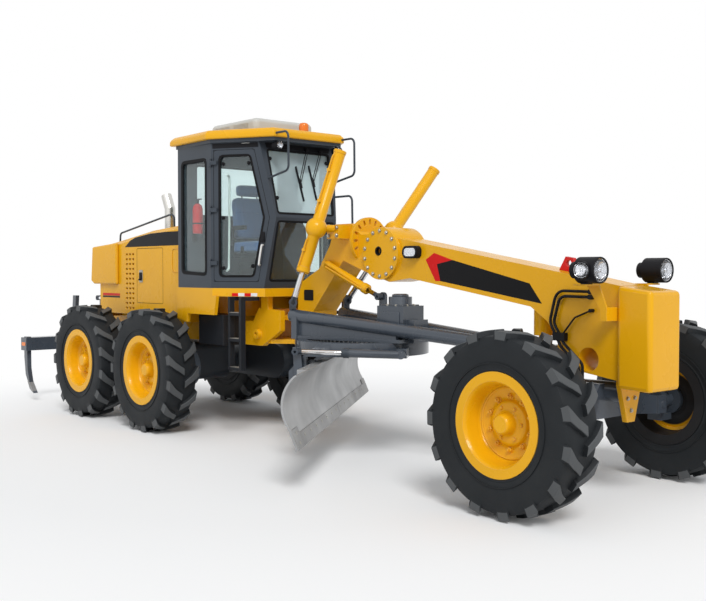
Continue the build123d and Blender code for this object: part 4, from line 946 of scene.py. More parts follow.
def grown(points, distance):
    """Outline moved out by a distance (in when negative), with mitred corners."""
    n = len(points)
    pairs = zip(points, points[1:] + points[:1])
    area = sum(a[0] * b[1] - b[0] * a[1] for a, b in pairs)
    sign = 1 if area > 0 else -1
    moved = []
    for i in range(n):
        here = Vector(points[i])
        a = (here - Vector(points[i - 1])).normalized()
        b = (Vector(points[(i + 1) % n]) - here).normalized()
        na, nb = Vector((a.y, -a.x)) * sign, Vector((b.y, -b.x)) * sign
        bisector = (na + nb).normalized()
        moved.append(tuple(here + bisector * (distance / max(0.3, bisector.dot(na)))))
    return moved


def band(bm, place, outline, inside, outside, low, high):
    """Closed strip that follows an outline, from inside it to outside it, low to high along w."""
    loops = [[bm.verts.new(place @ Vector((u, v, w))) for u, v in edge]
             for w in (low, high) for edge in (grown(outline, -inside), grown(outline, outside))]
    inner_low, outer_low, inner_high, outer_high = loops
    n = len(outline)
    for i in range(n):
        j = (i + 1) % n
        bm.faces.new((inner_low[i], inner_low[j], outer_low[j], outer_low[i]))
        bm.faces.new((inner_high[i], inner_high[j], outer_high[j], outer_high[i]))
        bm.faces.new((inner_low[i], inner_low[j], inner_high[j], inner_high[i]))
        bm.faces.new((outer_low[i], outer_low[j], outer_high[j], outer_high[i]))


print("outline helpers ready")

# %% [markdown]
# ## Walls and bars
# The machine's walls stand upright, so one frame with u ahead and v up serves them all, on either side. A
# tube is a ring of points carried along a path; a curve with a bevel depth would do it too, but a mesh can
# be joined with the other parts of its piece.

# %% Helpers: plates on a wall, and tubes
upright = frame_at((0, 0, 0), (1, 0, 0), (0, 0, 1))


def stations(points):
    """Side outline with its distances ahead of the rear axle turned into X."""
    return [(ahead(s), z) for s, z in points]


def side_plate(bm, side, y, outline, thickness):
    """Plate on a wall at this distance from the middle, standing out by its thickness."""
    prism(bm, upright, outline, -side * y, -side * (y + thickness))


def side_band(bm, side, y, outline, inside, outside, thickness):
    """Band on a wall at this distance from the middle, standing out by its thickness."""
    band(bm, upright, outline, inside, outside, -side * y, -side * (y + thickness))


def tube(bm, points, radius, sides=12, smooth=6):
    """Round bar along points, its corners eased, with flat ends."""
    path = [Vector(points[0])]
    for a, b, c in zip(points, points[1:], points[2:]):
        a, b, c = Vector(a), Vector(b), Vector(c)
        cut = min((a - b).length, (c - b).length) * 0.42
        first, last = b + (a - b).normalized() * cut, b + (c - b).normalized() * cut
        for k in range(smooth + 1):
            t = k / smooth
            path.append(first * (1 - t) ** 2 + b * (2 * t * (1 - t)) + last * t ** 2)
    path.append(Vector(points[-1]))
    across = None
    rings = []
    turns = [2 * pi * k / sides for k in range(sides)]
    for i, p in enumerate(path):
        onward = (path[min(i + 1, len(path) - 1)] - path[max(i - 1, 0)]).normalized()
        if across is None:
            across = onward.orthogonal().normalized()
        across = (across - onward * across.dot(onward)).normalized()
        other = onward.cross(across)
        rings.append([bm.verts.new(p + (across * cos(t) + other * sin(t)) * radius) for t in turns])
    for a, b in zip(rings, rings[1:]):
        for k in range(sides):
            m = (k + 1) % sides
            bm.faces.new((a[k], a[m], b[m], b[k]))
    bm.faces.new(rings[0])
    bm.faces.new(rings[-1])


print("wall and tube helpers ready")

# %% [markdown]
# ## Hood: stripes, hatch and latch
# The stripes are film stuck on the sheet metal. They could be painted by a mask in the material, but a film
# has an edge and its own gloss, so each is a plate one millimetre thick. The hatch is outlined by the gap
# round it, a thin dark band, with a paddle latch.


# %% Hood films
def station_box(s0, s1, z0, z1):
    """Rectangle on a side wall, from one distance ahead of the rear axle to another."""
    return stations([(s0, z0), (s1, z0), (s1, z1), (s0, z1)])


hood_side = middle("hood").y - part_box("hood")[0].y
film = 0.0012
hood_stripe = stations([(0.092, 1.984), (0.223, 2.060), (0.346, 2.092), (0.703, 2.130), (1.043, 2.140),
                        (1.556, 2.140), (1.556, 1.985)])
bm = bmesh.new()
for side in (-1, 1):
    side_plate(bm, side, hood_side, hood_stripe, film)
    side_plate(bm, side, hood_side, station_box(-0.488, -0.041, 1.378, 1.398), film)
piece("hood_band", bm, "rear_frame", "decal_black")
bm = bmesh.new()
for side in (-1, 1):
    side_plate(bm, side, hood_side, station_box(-0.488, -0.041, 1.402, 1.430), film)
piece("hood_pinstripe", bm, "rear_frame", "decal_red")
print("films on the hood's sides at", round(hood_side, 3))

# %% Hatch, emboss and latch
hatch = rounded(station_box(0.386, 0.985, 1.329, 1.962), 0.02)
emboss = rounded(station_box(1.19, 1.50, 1.684, 1.950), 0.05)
bm = bmesh.new()
for side in (-1, 1):
    side_band(bm, side, hood_side, hatch, 0.0025, 0.0025, 0.0008)
piece("hatch_gap", bm, "rear_frame", "dark_gap")
bm = bmesh.new()
for side in (-1, 1):
    side_band(bm, side, hood_side, emboss, 0.009, 0.0, 0.007)
piece("hood_emboss", bm, "rear_frame", "yellow_paint", bevel=0.003)
bm = bmesh.new()
for side in (-1, 1):
    place = upright @ Matrix.Translation((ahead(0.485), 1.640, -side * hood_side))
    block(bm, place, 0.085, 0.145, 0, -side * 0.006, 0.012)
piece("hatch_latch_plate", bm, "rear_frame", "zinc_steel", bevel=0.0015)
bm = bmesh.new()
for side in (-1, 1):
    place = upright @ Matrix.Translation((ahead(0.487), 1.636, -side * hood_side))
    block(bm, place, 0.042, 0.095, -side * 0.006, -side * 0.019, 0.010)
    place = upright @ Matrix.Translation((ahead(0.487), 1.600, -side * hood_side))
    block(bm, place, 0.030, 0.020, -side * 0.019, -side * 0.034, 0.006)
piece("hatch_latch", bm, "rear_frame", "black_plastic", bevel=0.002)
print("hatch", [round(c, 3) for c in hatch[0]])

# %% [markdown]
# ## Cab panes: seals and bolts
# Each pane sits in a black rubber channel. On the doors the rubber follows the window's five corners and
# swings with the door, so it rides on the door's own body. The front panes are bonded and held by small
# black caps at their corners, which show clearly in the photograph. Black strips under the roof's edge, in
# front and along both sides, are painted shade: they stand for the shadow under the roof's overhang.

# %% Cab measures
cab_side = 0.77
# the door's post, and how fast its wall turns in ahead of it
post_x, wall_slope = ahead(2.24), 0.63
# front edge of the side wall: distance ahead and height of its foot, its knee and its top
foot, knee, brow = (2.73, 1.525), (2.845, 2.24), (2.69, 3.0)
wall_stretch = hypot(1, wall_slope)


def front_edge(z, inset):
    """Distance along a door's wall to the cab's front edge at a height."""
    (s0, z0), (s1, z1) = (foot, knee) if z < knee[1] else (knee, brow)
    s = s0 + (s1 - s0) * (z - z0) / (z1 - z0)
    return (ahead(s) - post_x) * wall_stretch - inset


def door_outline(hinge, edge, low, high):
    """Five corners on the door's wall, inset from the hinge and from the front edge."""
    return [(hinge, low), (front_edge(low, edge), low), (front_edge(knee[1], edge), knee[1]),
            (front_edge(high, edge), high), (hinge, high)]


def door_frame(side):
    """Frame on a door's outer face, u forward along the wall and v up."""
    return frame_at((post_x, side * cab_side, 0), (1, -side * wall_slope, 0), (0, 0, 1))


door_window = rounded(door_outline(0.095, 0.13, 1.645, 2.87), 0.045)
door_leaf = rounded(door_outline(0.035, 0.075, 1.595, 2.925), 0.03)
print("door window runs", round(front_edge(knee[1], 0.13) - 0.095, 3), "m along the wall")


# %% Door seals, edge rubber and handles
for side_name, side in SIDES:
    place = door_frame(side)
    out = -side
    bm = bmesh.new()
    band(bm, place, door_window, 0.012, 0.010, -out * 0.020, out * 0.004)
    band(bm, place, door_leaf, 0.0, 0.006, -out * 0.03, out * 0.0005)
    piece("door_seal_" + side_name, bm, "door_" + side_name, "seal_rubber", bevel=0.002)
    # pull handle outside by the front edge, and its lock
    spot = front_edge(1.86, 0.10)
    bm = bmesh.new()
    tube(bm, [place @ Vector(p) for p in (
        (spot - 0.005, 1.76, out * 0.0), (spot, 1.76, out * 0.045), (spot + 0.016, 1.86, out * 0.05),
        (spot + 0.032, 1.96, out * 0.045), (spot + 0.03, 1.96, out * 0.0))], 0.010)
    piece("door_pull_" + side_name, bm, "door_" + side_name, "white_enamel")
    bm = bmesh.new()
    lock = place @ Matrix.Translation((front_edge(2.04, 0.105), 2.04, 0))
    block(bm, lock, 0.045, 0.11, 0, out * 0.014, 0.012)
    disc(bm, lock @ Matrix.Translation((0, -0.02, 0)), 0.012, 0, out * 0.022, 16)
    piece("door_lock_" + side_name, bm, "door_" + side_name, "black_plastic", bevel=0.002)
print("doors sealed")

# %% Quarter window and rear window seals
quarter = rounded(stations([(1.672, 1.680), (2.150, 1.660), (2.150, 2.850), (1.672, 2.850)]), 0.05)
bm = bmesh.new()
for side in (-1, 1):
    band(bm, upright, quarter, 0.022, 0.012, -side * (cab_side - 0.020), -side * (cab_side + 0.004))
cross = frame_at((ahead(1.592), 0, 0), (0, 1, 0), (0, 0, 1))
rear_pane = rounded([(-0.56, 2.29), (0.56, 2.29), (0.56, 2.85), (-0.56, 2.85)], 0.05)
band(bm, cross, rear_pane, 0.02, 0.012, 0.020, -0.004)
piece("cab_seals", bm, "rear_frame", "seal_rubber", bevel=0.002)
print("quarter and rear windows sealed")

# %% Front panes: frames, painted shade strips and rubber
upper_dir = Vector((ahead(brow[0]) - ahead(knee[0]), 0, brow[1] - knee[1])).normalized()
lower_dir = Vector((ahead(knee[0]) - ahead(foot[0]), 0, knee[1] - foot[1])).normalized()
upper_frame = frame_at((ahead(knee[0]), 0, knee[1]), (0, 1, 0), upper_dir)
lower_frame = frame_at((ahead(foot[0]), 0, foot[1]), (0, 1, 0), lower_dir)


def on_upper(z):
    """How far up the upper front pane a height lies."""
    return (z - knee[1]) / upper_dir.z


def on_lower(z):
    """How far up the lower front pane a height lies."""
    return (z - foot[1]) / lower_dir.z


def taper(half_low, low, half_high, high):
    """Four corners of a pane that is wider at one end."""
    return [(-half_low, low), (half_low, low), (half_high, high), (-half_high, high)]


upper_pane = rounded(taper(0.36, on_upper(2.28), 0.40, on_upper(2.93)), 0.03)
lower_pane = rounded(taper(0.40, on_lower(1.60), 0.36, on_lower(2.20)), 0.03)
bm = bmesh.new()
# black strips under the roof's edge, in front and along both sides: painted shade under the roof's overhang
prism(bm, upper_frame, taper(0.40, on_upper(2.942), 0.42, on_upper(2.995)), -0.002, 0.004)
roof_shade_side = [(0.02, 2.945), (front_edge(2.945, 0.02), 2.945), (front_edge(2.992, 0.02), 2.992), (0.02, 2.992)]
for side in (-1, 1):
    prism(bm, door_frame(side), roof_shade_side, 0.002 * side, -0.003 * side)
piece("roof_shade_strips", bm, "rear_frame", "black_plastic")
bm = bmesh.new()
band(bm, upper_frame, upper_pane, 0.012, 0.010, -0.018, 0.003)
band(bm, lower_frame, lower_pane, 0.012, 0.010, -0.018, 0.003)
piece("front_seals", bm, "rear_frame", "seal_rubber", bevel=0.002)
print("upper pane runs", round(on_upper(2.93) - on_upper(2.28), 3), "m up its slope")

# %% Caps at the panes' corners
bm = bmesh.new()
cap = [(r, w * 1.6) for r, w in ((0, 0), (0.019, 0), (0.019, 0.006), (0.013, 0.011), (0, 0.012))]
cap_depth = 0.022
for y, z in ((-0.365, 2.84), (-0.335, 2.44), (0.365, 2.84), (0.335, 2.44)):
    turned(bm, upper_frame @ Matrix.Translation((y, on_upper(z), -0.020)), cap, 20)
piece("pane_caps", bm, "rear_frame", "black_plastic")
hinge_u, edge_inset = 0.130, 0.17
door_cap_spots = [(hinge_u, 2.79), (hinge_u, 2.24), (hinge_u, 1.73)]
door_cap_spots += [(front_edge(z, edge_inset), z) for z in (2.79, 1.75)]
for side_name, side in SIDES:
    bm = bmesh.new()
    for u, z in door_cap_spots:
        spot = door_frame(side) @ Matrix.Translation((u, z, 0))
        turned(bm, spot, [(r, -side * (w - cap_depth)) for r, w in cap], 20)
    piece("door_caps_" + side_name, bm, "door_" + side_name, "black_plastic")
print(len(door_cap_spots), "caps on each door")

# %% [markdown]
# ## Wipers
# Two pantograph wipers hang from the header over the upper pane. Each has a pair of thin arms from one
# shaft and a blade across their ends. They are bars and a small block, in the plane of the glass.

# %% Wipers
bm = bmesh.new()
lift, arm_gap = 0.028, 0.012
# shaft and middle of the blade, each as y and height
wipers = [((0.10, 2.955), (-0.05, 2.60)), ((0.28, 2.955), (0.12, 2.62))]
for (y0, z0), (y1, z1) in wipers:
    for shift in (-arm_gap, arm_gap):
        a = upper_frame @ Vector((y0 + shift, on_upper(z0), lift))
        b = upper_frame @ Vector((y1 + shift, on_upper(z1), lift))
        tube(bm, [a, a.lerp(b, 0.5), b], 0.0045, 8)
    turned(bm, upper_frame @ Matrix.Translation((y0, on_upper(z0), -0.02)),
           [(0, 0), (0.022, 0), (0.022, 0.045), (0.014, 0.055), (0, 0.055)], 20)
    top = Vector((y1 - 0.02, on_upper(z1 + 0.17), 0.008))
    tip = Vector((y1 + 0.03, on_upper(z1 - 0.19), 0.008))
    run = tip - top
    lean = -Vector((0, 1)).angle_signed(run.to_2d())
    blade_place = upper_frame @ Matrix.Translation((top + tip) / 2) @ Matrix.Rotation(lean, 4, "Z")
    block(bm, blade_place, 0.012, run.length, -0.006, 0.014)
    block(bm, blade_place, 0.020, 0.10, 0.012, 0.026, 0.004)
piece("wipers", bm, "rear_frame", "black_plastic", bevel=0.001)
print(len(wipers), "wipers")

# %% [markdown]
# ## Roof: lamps, beacon and cooler
# Under the roof's front corners hang two round lamps. A lamp reads as a lamp because of three things: a
# bright bowl behind, a clear lens in front and a dark rim round both, so each is built of those. The beacon
# gets a ribbed lens on a black foot, and the cooler its louvres and two drain covers.


# %% Helper: a round lamp
def lamp_face(name, body, place, radius, depth=0.02, finish_name="black_plastic"):
    """Rim, bowl and lens on a can's flat front; w points out of the lamp."""
    inner = radius * 0.86
    bm = bmesh.new()
    turned(bm, place, [(inner, -0.004), (inner, depth * 0.7), (radius * 0.90, depth), (radius * 0.98, depth),
                       (radius, depth * 0.8), (radius, -0.004)], 40, closed=True)
    piece(name + "_rim", bm, body, finish_name)
    bm = bmesh.new()
    turned(bm, place, [(0, 0.0015), (radius * 0.2, 0.002), (radius * 0.5, 0.004), (radius * 0.75, 0.008),
                       (inner, 0.013)], 40)
    bulb = radius * 0.16
    turned(bm, place, [(0, 0.003), (bulb, 0.003), (bulb, 0.010), (bulb / 2, 0.013), (0, 0.013)], 24)
    piece(name + "_bowl", bm, body, "lens_silver")
    bm = bmesh.new()
    seat, crown = depth * 0.45, 0.010
    dome = [(inner * sin(t), seat + crown * cos(t)) for t in (pi / 2, 1.2, 0.8, 0.4)]
    turned(bm, place, dome + [(0, seat + crown)], 40)
    # fluting: upright ribs pressed into the lens
    for k in range(-5, 6):
        u = k * radius * 0.145
        half = sqrt(max(0.0, (radius * 0.80) ** 2 - u * u))
        block(bm, place @ Matrix.Translation((u, 0, 0)), 0.0025, 2 * half, depth * 0.55, seat + 0.0118)
    piece(name + "_lens", bm, body, "lens_glass")


low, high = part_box("roof_lamps")
roof_lamp_radius = 0.042
for side_name, side in SIDES:
    spot = (high.x, side * (high.y - roof_lamp_radius), low.z + roof_lamp_radius)
    lamp_face("roof_lamp_" + side_name, "rear_frame", frame_at(spot, (0, 1, 0), (0, 0, 1)), roof_lamp_radius,
              0.012)
print("two roof lamps at", round(high.x, 3))

# %% Beacon
low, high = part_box("beacon")
centre = (low + high) / 2
bm = bmesh.new()
turned(bm, frame_at((centre.x, centre.y, low.z), (1, 0, 0), (0, 1, 0)),
       [(0, 0.0), (0.054, 0.0), (0.054, 0.022), (0.050, 0.030), (0, 0.030)], 32)
piece("beacon_foot", bm, "rear_frame", "black_plastic")
bm = bmesh.new()
rib_count, groove = 36, 0.965
lens_low, lens_high, lens_radius = 0.030, high.z - low.z, 0.0505
rings = []
for w, r in ((lens_low, 1.0), (0.085, 1.0), (0.102, 0.93), (0.113, 0.75), (lens_high - 0.002, 0.4)):
    ring = []
    for k in range(2 * rib_count):
        # every other point lies in a groove
        away = lens_radius * r * (1.0 if k % 2 else groove)
        turn = pi * k / rib_count
        ring.append(bm.verts.new((centre.x + away * cos(turn), centre.y + away * sin(turn), low.z + w)))
    rings.append(ring)
for a, b in zip(rings, rings[1:]):
    for k in range(2 * rib_count):
        m = (k + 1) % (2 * rib_count)
        bm.faces.new((a[k], a[m], b[m], b[k]))
bm.faces.new(rings[0])
bm.faces.new(rings[-1])
piece("beacon_lens", bm, "rear_frame", "amber_plastic", smooth=50, replaces=("beacon",))
print("beacon lens with", rib_count, "ribs")

# %% Cooler louvres and covers
low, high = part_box("air_conditioner")
bm = bmesh.new()
louvres = 7
for side in (-1, 1):
    for k in range(louvres):
        z = low.z + 0.028 + 0.0125 * k
        for start in (0.10, 0.45):
            place = upright @ Matrix.Translation((low.x + start + 0.14, z, -side * high.y))
            block(bm, place, 0.27, 0.006, 0, -side * 0.004, 0.002)
piece("cooler_louvres", bm, "rear_frame", "pale_grey_paint")
bm = bmesh.new()
for x in (low.x + 0.18, low.x + 0.52):
    disc(bm, frame_at((x, 0, high.z - 0.004), (1, 0, 0), (0, 1, 0)), 0.11, 0, 0.003, 36)
piece("cooler_fan_covers", bm, "rear_frame", "black_plastic")
print(2 * louvres, "louvres a side")

# %% [markdown]
# ## Inside the cab
# Through the glass one sees a blue suspension seat in front of a dark rear wall, a steering wheel on a
# raked column, a pale grab bar in each door and a small red extinguisher. They are simple, but without
# them the cab would be an empty box. A ribbed rubber mat darkens the floor, which would otherwise shine
# through the lower panes.

# %% Seat base
seat_x = ahead(2.05)
floor_z = 1.525
bm = bmesh.new()
base = frame_at((seat_x, 0, floor_z), (1, 0, 0), (0, 1, 0))
block(bm, base, 0.37, 0.39, 0.0, 0.05, 0.03)
for k in range(6):
    shrink = 0.02 if k % 2 else 0.0
    block(bm, base, 0.36 - shrink, 0.38 - shrink, 0.05 + 0.045 * k, 0.05 + 0.045 * (k + 1), 0.03)
block(bm, base @ Matrix.Translation((0.03, 0, 0)), 0.50, 0.50, 0.32, 0.362, 0.04)
for side in (-1, 1):
    block(bm, base @ Matrix.Translation((-0.02, side * 0.225, 0)), 0.06, 0.045, 0.36, 0.44, 0.01)
piece("seat_base", bm, "rear_frame", "black_plastic", bevel=0.004)
print("seat stands at", round(seat_x, 3))

# %% Floor mat
bm = bmesh.new()
mat_rear, mat_half, mat_front, mat_nose = ahead(1.45), 0.66, ahead(2.60), 0.42
mat = [(mat_rear, -mat_half), (post_x, -mat_half), (mat_front, -mat_nose), (mat_front, mat_nose),
       (post_x, mat_half), (mat_rear, mat_half)]
prism(bm, Matrix.Identity(4), mat, floor_z - 0.001, floor_z + 0.008)
mat_ribs, rib_pitch = 12, 0.055
for k in range(mat_ribs):
    place = Matrix.Translation((mat_rear + 0.05 + rib_pitch * k, 0, 0))
    block(bm, place, 0.012, 2 * mat_half - 0.08, floor_z + 0.006, floor_z + 0.011)
piece("floor_mat", bm, "rear_frame", "seal_rubber")
print("mat with", mat_ribs, "ribs")

# %% Steering wheel and extinguisher
wheel_rake = 0.45
steering = frame_at((ahead(2.44), 0, floor_z + 0.79), (0, -1, 0), (1, 0, wheel_rake))
grip_radius, grip_half = 0.195, 0.0175
grip = [(grip_radius + grip_half * cos(pi * k / 6), 0.013 + grip_half * sin(pi * k / 6)) for k in range(12)]
bm = bmesh.new()
turned(bm, steering, grip, 48, closed=True)
turned(bm, steering, [(0, 0.028), (0.03, 0.028), (0.045, 0.02), (0.045, -0.002), (0, -0.002)], 24)
piece("steering_grip", bm, "rear_frame", "seal_rubber", smooth=60)

bm = bmesh.new()
bottle = frame_at((ahead(1.72), -0.60, 2.10), (1, 0, 0), (0, 1, 0))
bottle_line = [(0, 0), (0.052, 0), (0.055, 0.01), (0.055, 0.26), (0.045, 0.30), (0.02, 0.32), (0, 0.32)]
turned(bm, bottle, bottle_line, 28)
piece("extinguisher", bm, "rear_frame", "decal_red")
bm = bmesh.new()
disc(bm, bottle, 0.016, 0.32, 0.36, 16)
block(bm, bottle @ Matrix.Translation((0.02, 0, 0)), 0.10, 0.02, 0.36, 0.372, 0.004)
turned(bm, bottle, [(0.0552, 0.10), (0.0565, 0.10), (0.0565, 0.115), (0.0552, 0.115)], 28, closed=True)
block(bm, frame_at((ahead(1.665), -0.60, 2.12), (0, 1, 0), (0, 0, 1)), 0.06, 0.22, -0.012, 0.0, 0.005)
piece("extinguisher_valve", bm, "rear_frame", "black_plastic")
print("steering wheel", 2 * grip_radius, "m across")

# %% Door bars and headliner
bar_line = ((0.16, 1.70, 0.035), (0.16, 1.72, 0.085), (0.165, 2.20, 0.090), (0.17, 2.66, 0.085),
            (0.17, 2.68, 0.035))
for side_name, side in SIDES:
    bm = bmesh.new()
    tube(bm, [door_frame(side) @ Vector((u, v, side * w)) for u, v, w in bar_line], 0.012)
    piece("door_bar_" + side_name, bm, "door_" + side_name, "pale_grey_paint")
bm = bmesh.new()
block(bm, frame_at((ahead(2.19), 0, 2.985), (1, 0, 0), (0, 1, 0)), 0.85, 1.18, 0, 0.006, 0.08)
piece("headliner", bm, "rear_frame", "pale_grey_paint", bevel=0.002)
print("cab fitted")

# %% [markdown]
# ## Seat cushions
# The cushion and the back are padded fabric. Modelled as blocks they would look like boxes, so cloth
# simulation is used: the block is remeshed into even quads, blown up a little from inside with gravity off,
# and stopped at a cap so that it can't grow into its neighbours. The sewn channels are pressed in after
# that, because remeshing would erase them.


# %% Helpers: a block as an object, and baking
def rounded_block(name, place, size, corner):
    """Object of a block with round corners, in triangles, ready to be remeshed."""
    bm = bmesh.new()
    block(bm, place, size[0], size[1], -size[2] / 2, size[2] / 2, corner)
    bmesh.ops.recalc_face_normals(bm, faces=bm.faces)
    bmesh.ops.triangulate(bm, faces=bm.faces)
    mesh = bpy.data.meshes.new(name)
    bm.to_mesh(mesh)
    bm.free()
    obj = bpy.data.objects.new(name, mesh)
    bpy.context.scene.collection.objects.link(obj)
    return obj


def baked(obj):
    """The object's shape with its modifiers applied, as its own mesh."""
    graph = bpy.context.evaluated_depsgraph_get()
    mesh = bpy.data.meshes.new_from_object(obj.evaluated_get(graph))
    obj.modifiers.clear()
    obj.data = mesh


print("block and bake helpers ready")

# %% [markdown]
# The shape is worked out in three passes: cloth pressure, run for a few frames and then frozen; a soft crown
# that is highest in the middle of the face; and the sewn channels, shallow valleys along straight lines.

# %% Helper: a puffed pad
quad_size, stuffing_pressure, stuffing_frames = 0.011, 4.0, 20
crown_height, seam_half, seam_depth = 0.010, 0.014, 0.008


def stuffed(obj):
    """Blow the mesh up with cloth pressure, without gravity, and freeze it."""
    cloth_mod = obj.modifiers.new("stuffing", "CLOTH")
    settings = cloth_mod.settings
    settings.use_pressure = True
    settings.uniform_pressure_force = stuffing_pressure
    settings.effector_weights.gravity = 0.0
    settings.quality = 4
    cloth_mod.point_cache.frame_start = 1
    cloth_mod.point_cache.frame_end = stuffing_frames
    for frame_number in range(1, stuffing_frames + 1):
        bpy.context.scene.frame_set(frame_number)
    baked(obj)
    bpy.context.scene.frame_set(1)


def padded_pad(name, place, size, corner, cap, channels):
    """Cushion with crowned faces; channels are (u or v, place) of the sewn lines on its top."""
    obj = rounded_block(name, place, size, corner)
    remesh = obj.modifiers.new("even quads", "REMESH")
    remesh.mode = "VOXEL"
    remesh.voxel_size = quad_size
    baked(obj)
    start = [v.co.copy() for v in obj.data.vertices]
    stuffed(obj)
    back = place.inverted()
    grown_most = 0.0
    for v, old in zip(obj.data.vertices, start):
        move = v.co - old
        if move.length > cap:
            move = move * (cap / move.length)
        spot = back @ (old + move)
        u, w = spot.x / (size[0] / 2), spot.y / (size[1] / 2)
        crown = max(0.0, 1 - u * u) * max(0.0, 1 - w * w)
        # the underside is held flat by its board, so it bulges less
        spot.z += (1 if spot.z > 0 else -0.3) * crown_height * crown
        for axis, line in channels:
            off_line = abs((spot.x if axis == "u" else spot.y) - line)
            if spot.z > 0 and off_line < seam_half:
                spot.z -= seam_depth * (1 - off_line / seam_half) ** 2
        grown_most = max(grown_most, move.length)
        v.co = place @ spot
    smooth = obj.modifiers.new("soft", "SUBSURF")
    smooth.levels = smooth.render_levels = 1
    baked(obj)
    for face in obj.data.polygons:
        face.use_smooth = True
    obj.data.materials.clear()
    obj.data.materials.append(finishes["blue_fabric"])
    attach(obj, "rear_frame")
    print(name, "grew at most", round(grown_most * 1000, 1), "mm and has", len(obj.data.polygons), "faces")
    return obj


# %% Cushion, back and head rest
cushion_place = frame_at((ahead(2.08), 0, floor_z + 0.432), (1, 0, 0), (0, 1, 0))
padded_pad("seat_cushion", cushion_place, (0.50, 0.50, 0.095), 0.05, 0.010,
           [("v", -0.15), ("v", 0.15), ("u", 0.02)])
lean = Vector((-0.065, 0, 0.68)).normalized()
back_place = frame_at((ahead(1.845), 0, floor_z + 0.75), (0, 1, 0), lean)
seat_back = padded_pad("seat_back", back_place, (0.46, 0.46, 0.085), 0.06, 0.010,
                       [("u", -0.14), ("u", 0.14), ("v", 0.05)])
rest_place = frame_at((ahead(1.805), 0, floor_z + 1.055), (0, 1, 0), lean)
padded_pad("head_rest", rest_place, (0.30, 0.115, 0.075), 0.03, 0.006, [])
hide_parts("seat")
bm = bmesh.new()
for side in (-1, 1):
    foot_spot = back_place @ Vector((side * 0.10, 0.20, 0.0))
    tip = rest_place @ Vector((side * 0.10, 0.0, 0.0))
    tube(bm, [foot_spot, foot_spot.lerp(tip, 0.5), tip], 0.007, 10)
    rest = frame_at((ahead(1.99), side * 0.275, floor_z + 0.615), (1, 0, 0), (0, 1, 0))
    block(bm, rest, 0.30, 0.055, 0, 0.045, 0.02)
    bracket = frame_at((ahead(1.87), side * 0.262, floor_z + 0.45), (1, 0, 0), (0, 1, 0))
    block(bm, bracket, 0.05, 0.022, 0, 0.18, 0.006)
piece("arm_rests", bm, "rear_frame", "black_plastic", bevel=0.006)
print("seat padded")

# %% [markdown]
# ## Boom: stripe, flange bolts and side plate
# A black stripe with a red arrowhead runs along both sides of the boom. The bolted flange where the boom
# meets the gooseneck carries a ring of hex bolts, and in its middle a rubber grommet for the hoses. A small
# black plate sits low on the gooseneck.

# %% Boom films
boom_side = 0.150
boom_stripe = stations([(4.857, 1.759), (5.040, 1.793), (5.873, 1.602), (5.998, 1.445), (4.898, 1.613)])
arrowhead = stations([(4.720, 1.797), (4.823, 1.856), (5.040, 1.793), (4.857, 1.759), (4.898, 1.613),
                      (4.839, 1.613)])
bm = bmesh.new()
for side in (-1, 1):
    side_plate(bm, side, boom_side, boom_stripe, film)
piece("boom_stripe", bm, "front_frame", "decal_black")
bm = bmesh.new()
for side in (-1, 1):
    side_plate(bm, side, boom_side, arrowhead, film)
piece("boom_arrowhead", bm, "front_frame", "decal_red")
print("boom stripe starts at", round(boom_stripe[0][0], 3))


# %% Flange bolts, grommets and plate
def wall_spot(x, z, y, side):
    """Frame on an upright wall whose w axis points out of it."""
    spot = upright @ Matrix.Translation((x, z, -side * y))
    return spot @ Matrix.Rotation(pi, 4, "X") if side > 0 else spot


flange_x, flange_z, flange_side = ahead(4.160), 1.860, 0.185
flange_bolts, bolt_circle = 14, 0.208
hose_x, hose_z = ahead(4.142), 1.882
bm = bmesh.new()
for side in (-1, 1):
    for k in range(flange_bolts):
        turn = 2 * pi * (k + 0.5) / flange_bolts
        hex_bolt(bm, wall_spot(flange_x + bolt_circle * cos(turn), flange_z + bolt_circle * sin(turn),
                               flange_side, side), 0.026, 0.014)
piece("flange_bolts", bm, "front_frame", "zinc_steel")
bm = bmesh.new()
# radius and depth, outward of the flange's face
grommet = [(0.029, -0.03), (0.029, 0.006), (0.040, 0.006), (0.043, 0.0), (0.043, -0.002), (0.034, -0.03)]
for side in (-1, 1):
    place = upright @ Matrix.Translation((hose_x, hose_z, -side * flange_side))
    turned(bm, place, [(r, -side * w) for r, w in grommet], 32, closed=True)
piece("hose_grommets", bm, "front_frame", "seal_rubber")
bm = bmesh.new()
for side in (-1, 1):
    side_plate(bm, side, boom_side, rounded(station_box(2.995, 3.140, 1.405, 1.512), 0.012), 0.006)
piece("gooseneck_plate", bm, "front_frame", "black_plastic", bevel=0.001)
print(flange_bolts, "bolts round the flange")

# %% Bolts of the lift arms and of the ball's hanger
bm = bmesh.new()
for side in (-1, 1):
    for dx in (-0.06, 0.06):
        for dz in (-0.065, 0.01):
            hex_bolt(bm, wall_spot(ahead(3.62) + dx, 2.1 + dz, 0.295, side), 0.028, 0.016)
hanger = frame_at((ahead(6.705), 0, 0), (0, 1, 0), (0, 0, 1))
for y, z in ((-0.045, 0.765), (0.045, 0.765), (0.0, 0.675)):
    hex_bolt(bm, hanger @ Matrix.Translation((y, z, 0)), 0.024, 0.014)
piece("frame_bolts", bm, "front_frame", "zinc_steel")
print("boom dressed")

# %% [markdown]
# ## Lamps on the front frame
# Each headlamp unit has a round lamp facing ahead and a second one beside it facing out. The oval work lamp
# on the boom's side is a clear lens in a dark bezel. The round ones come from the same helper as the roof
# lamps; only their frames and sizes differ.

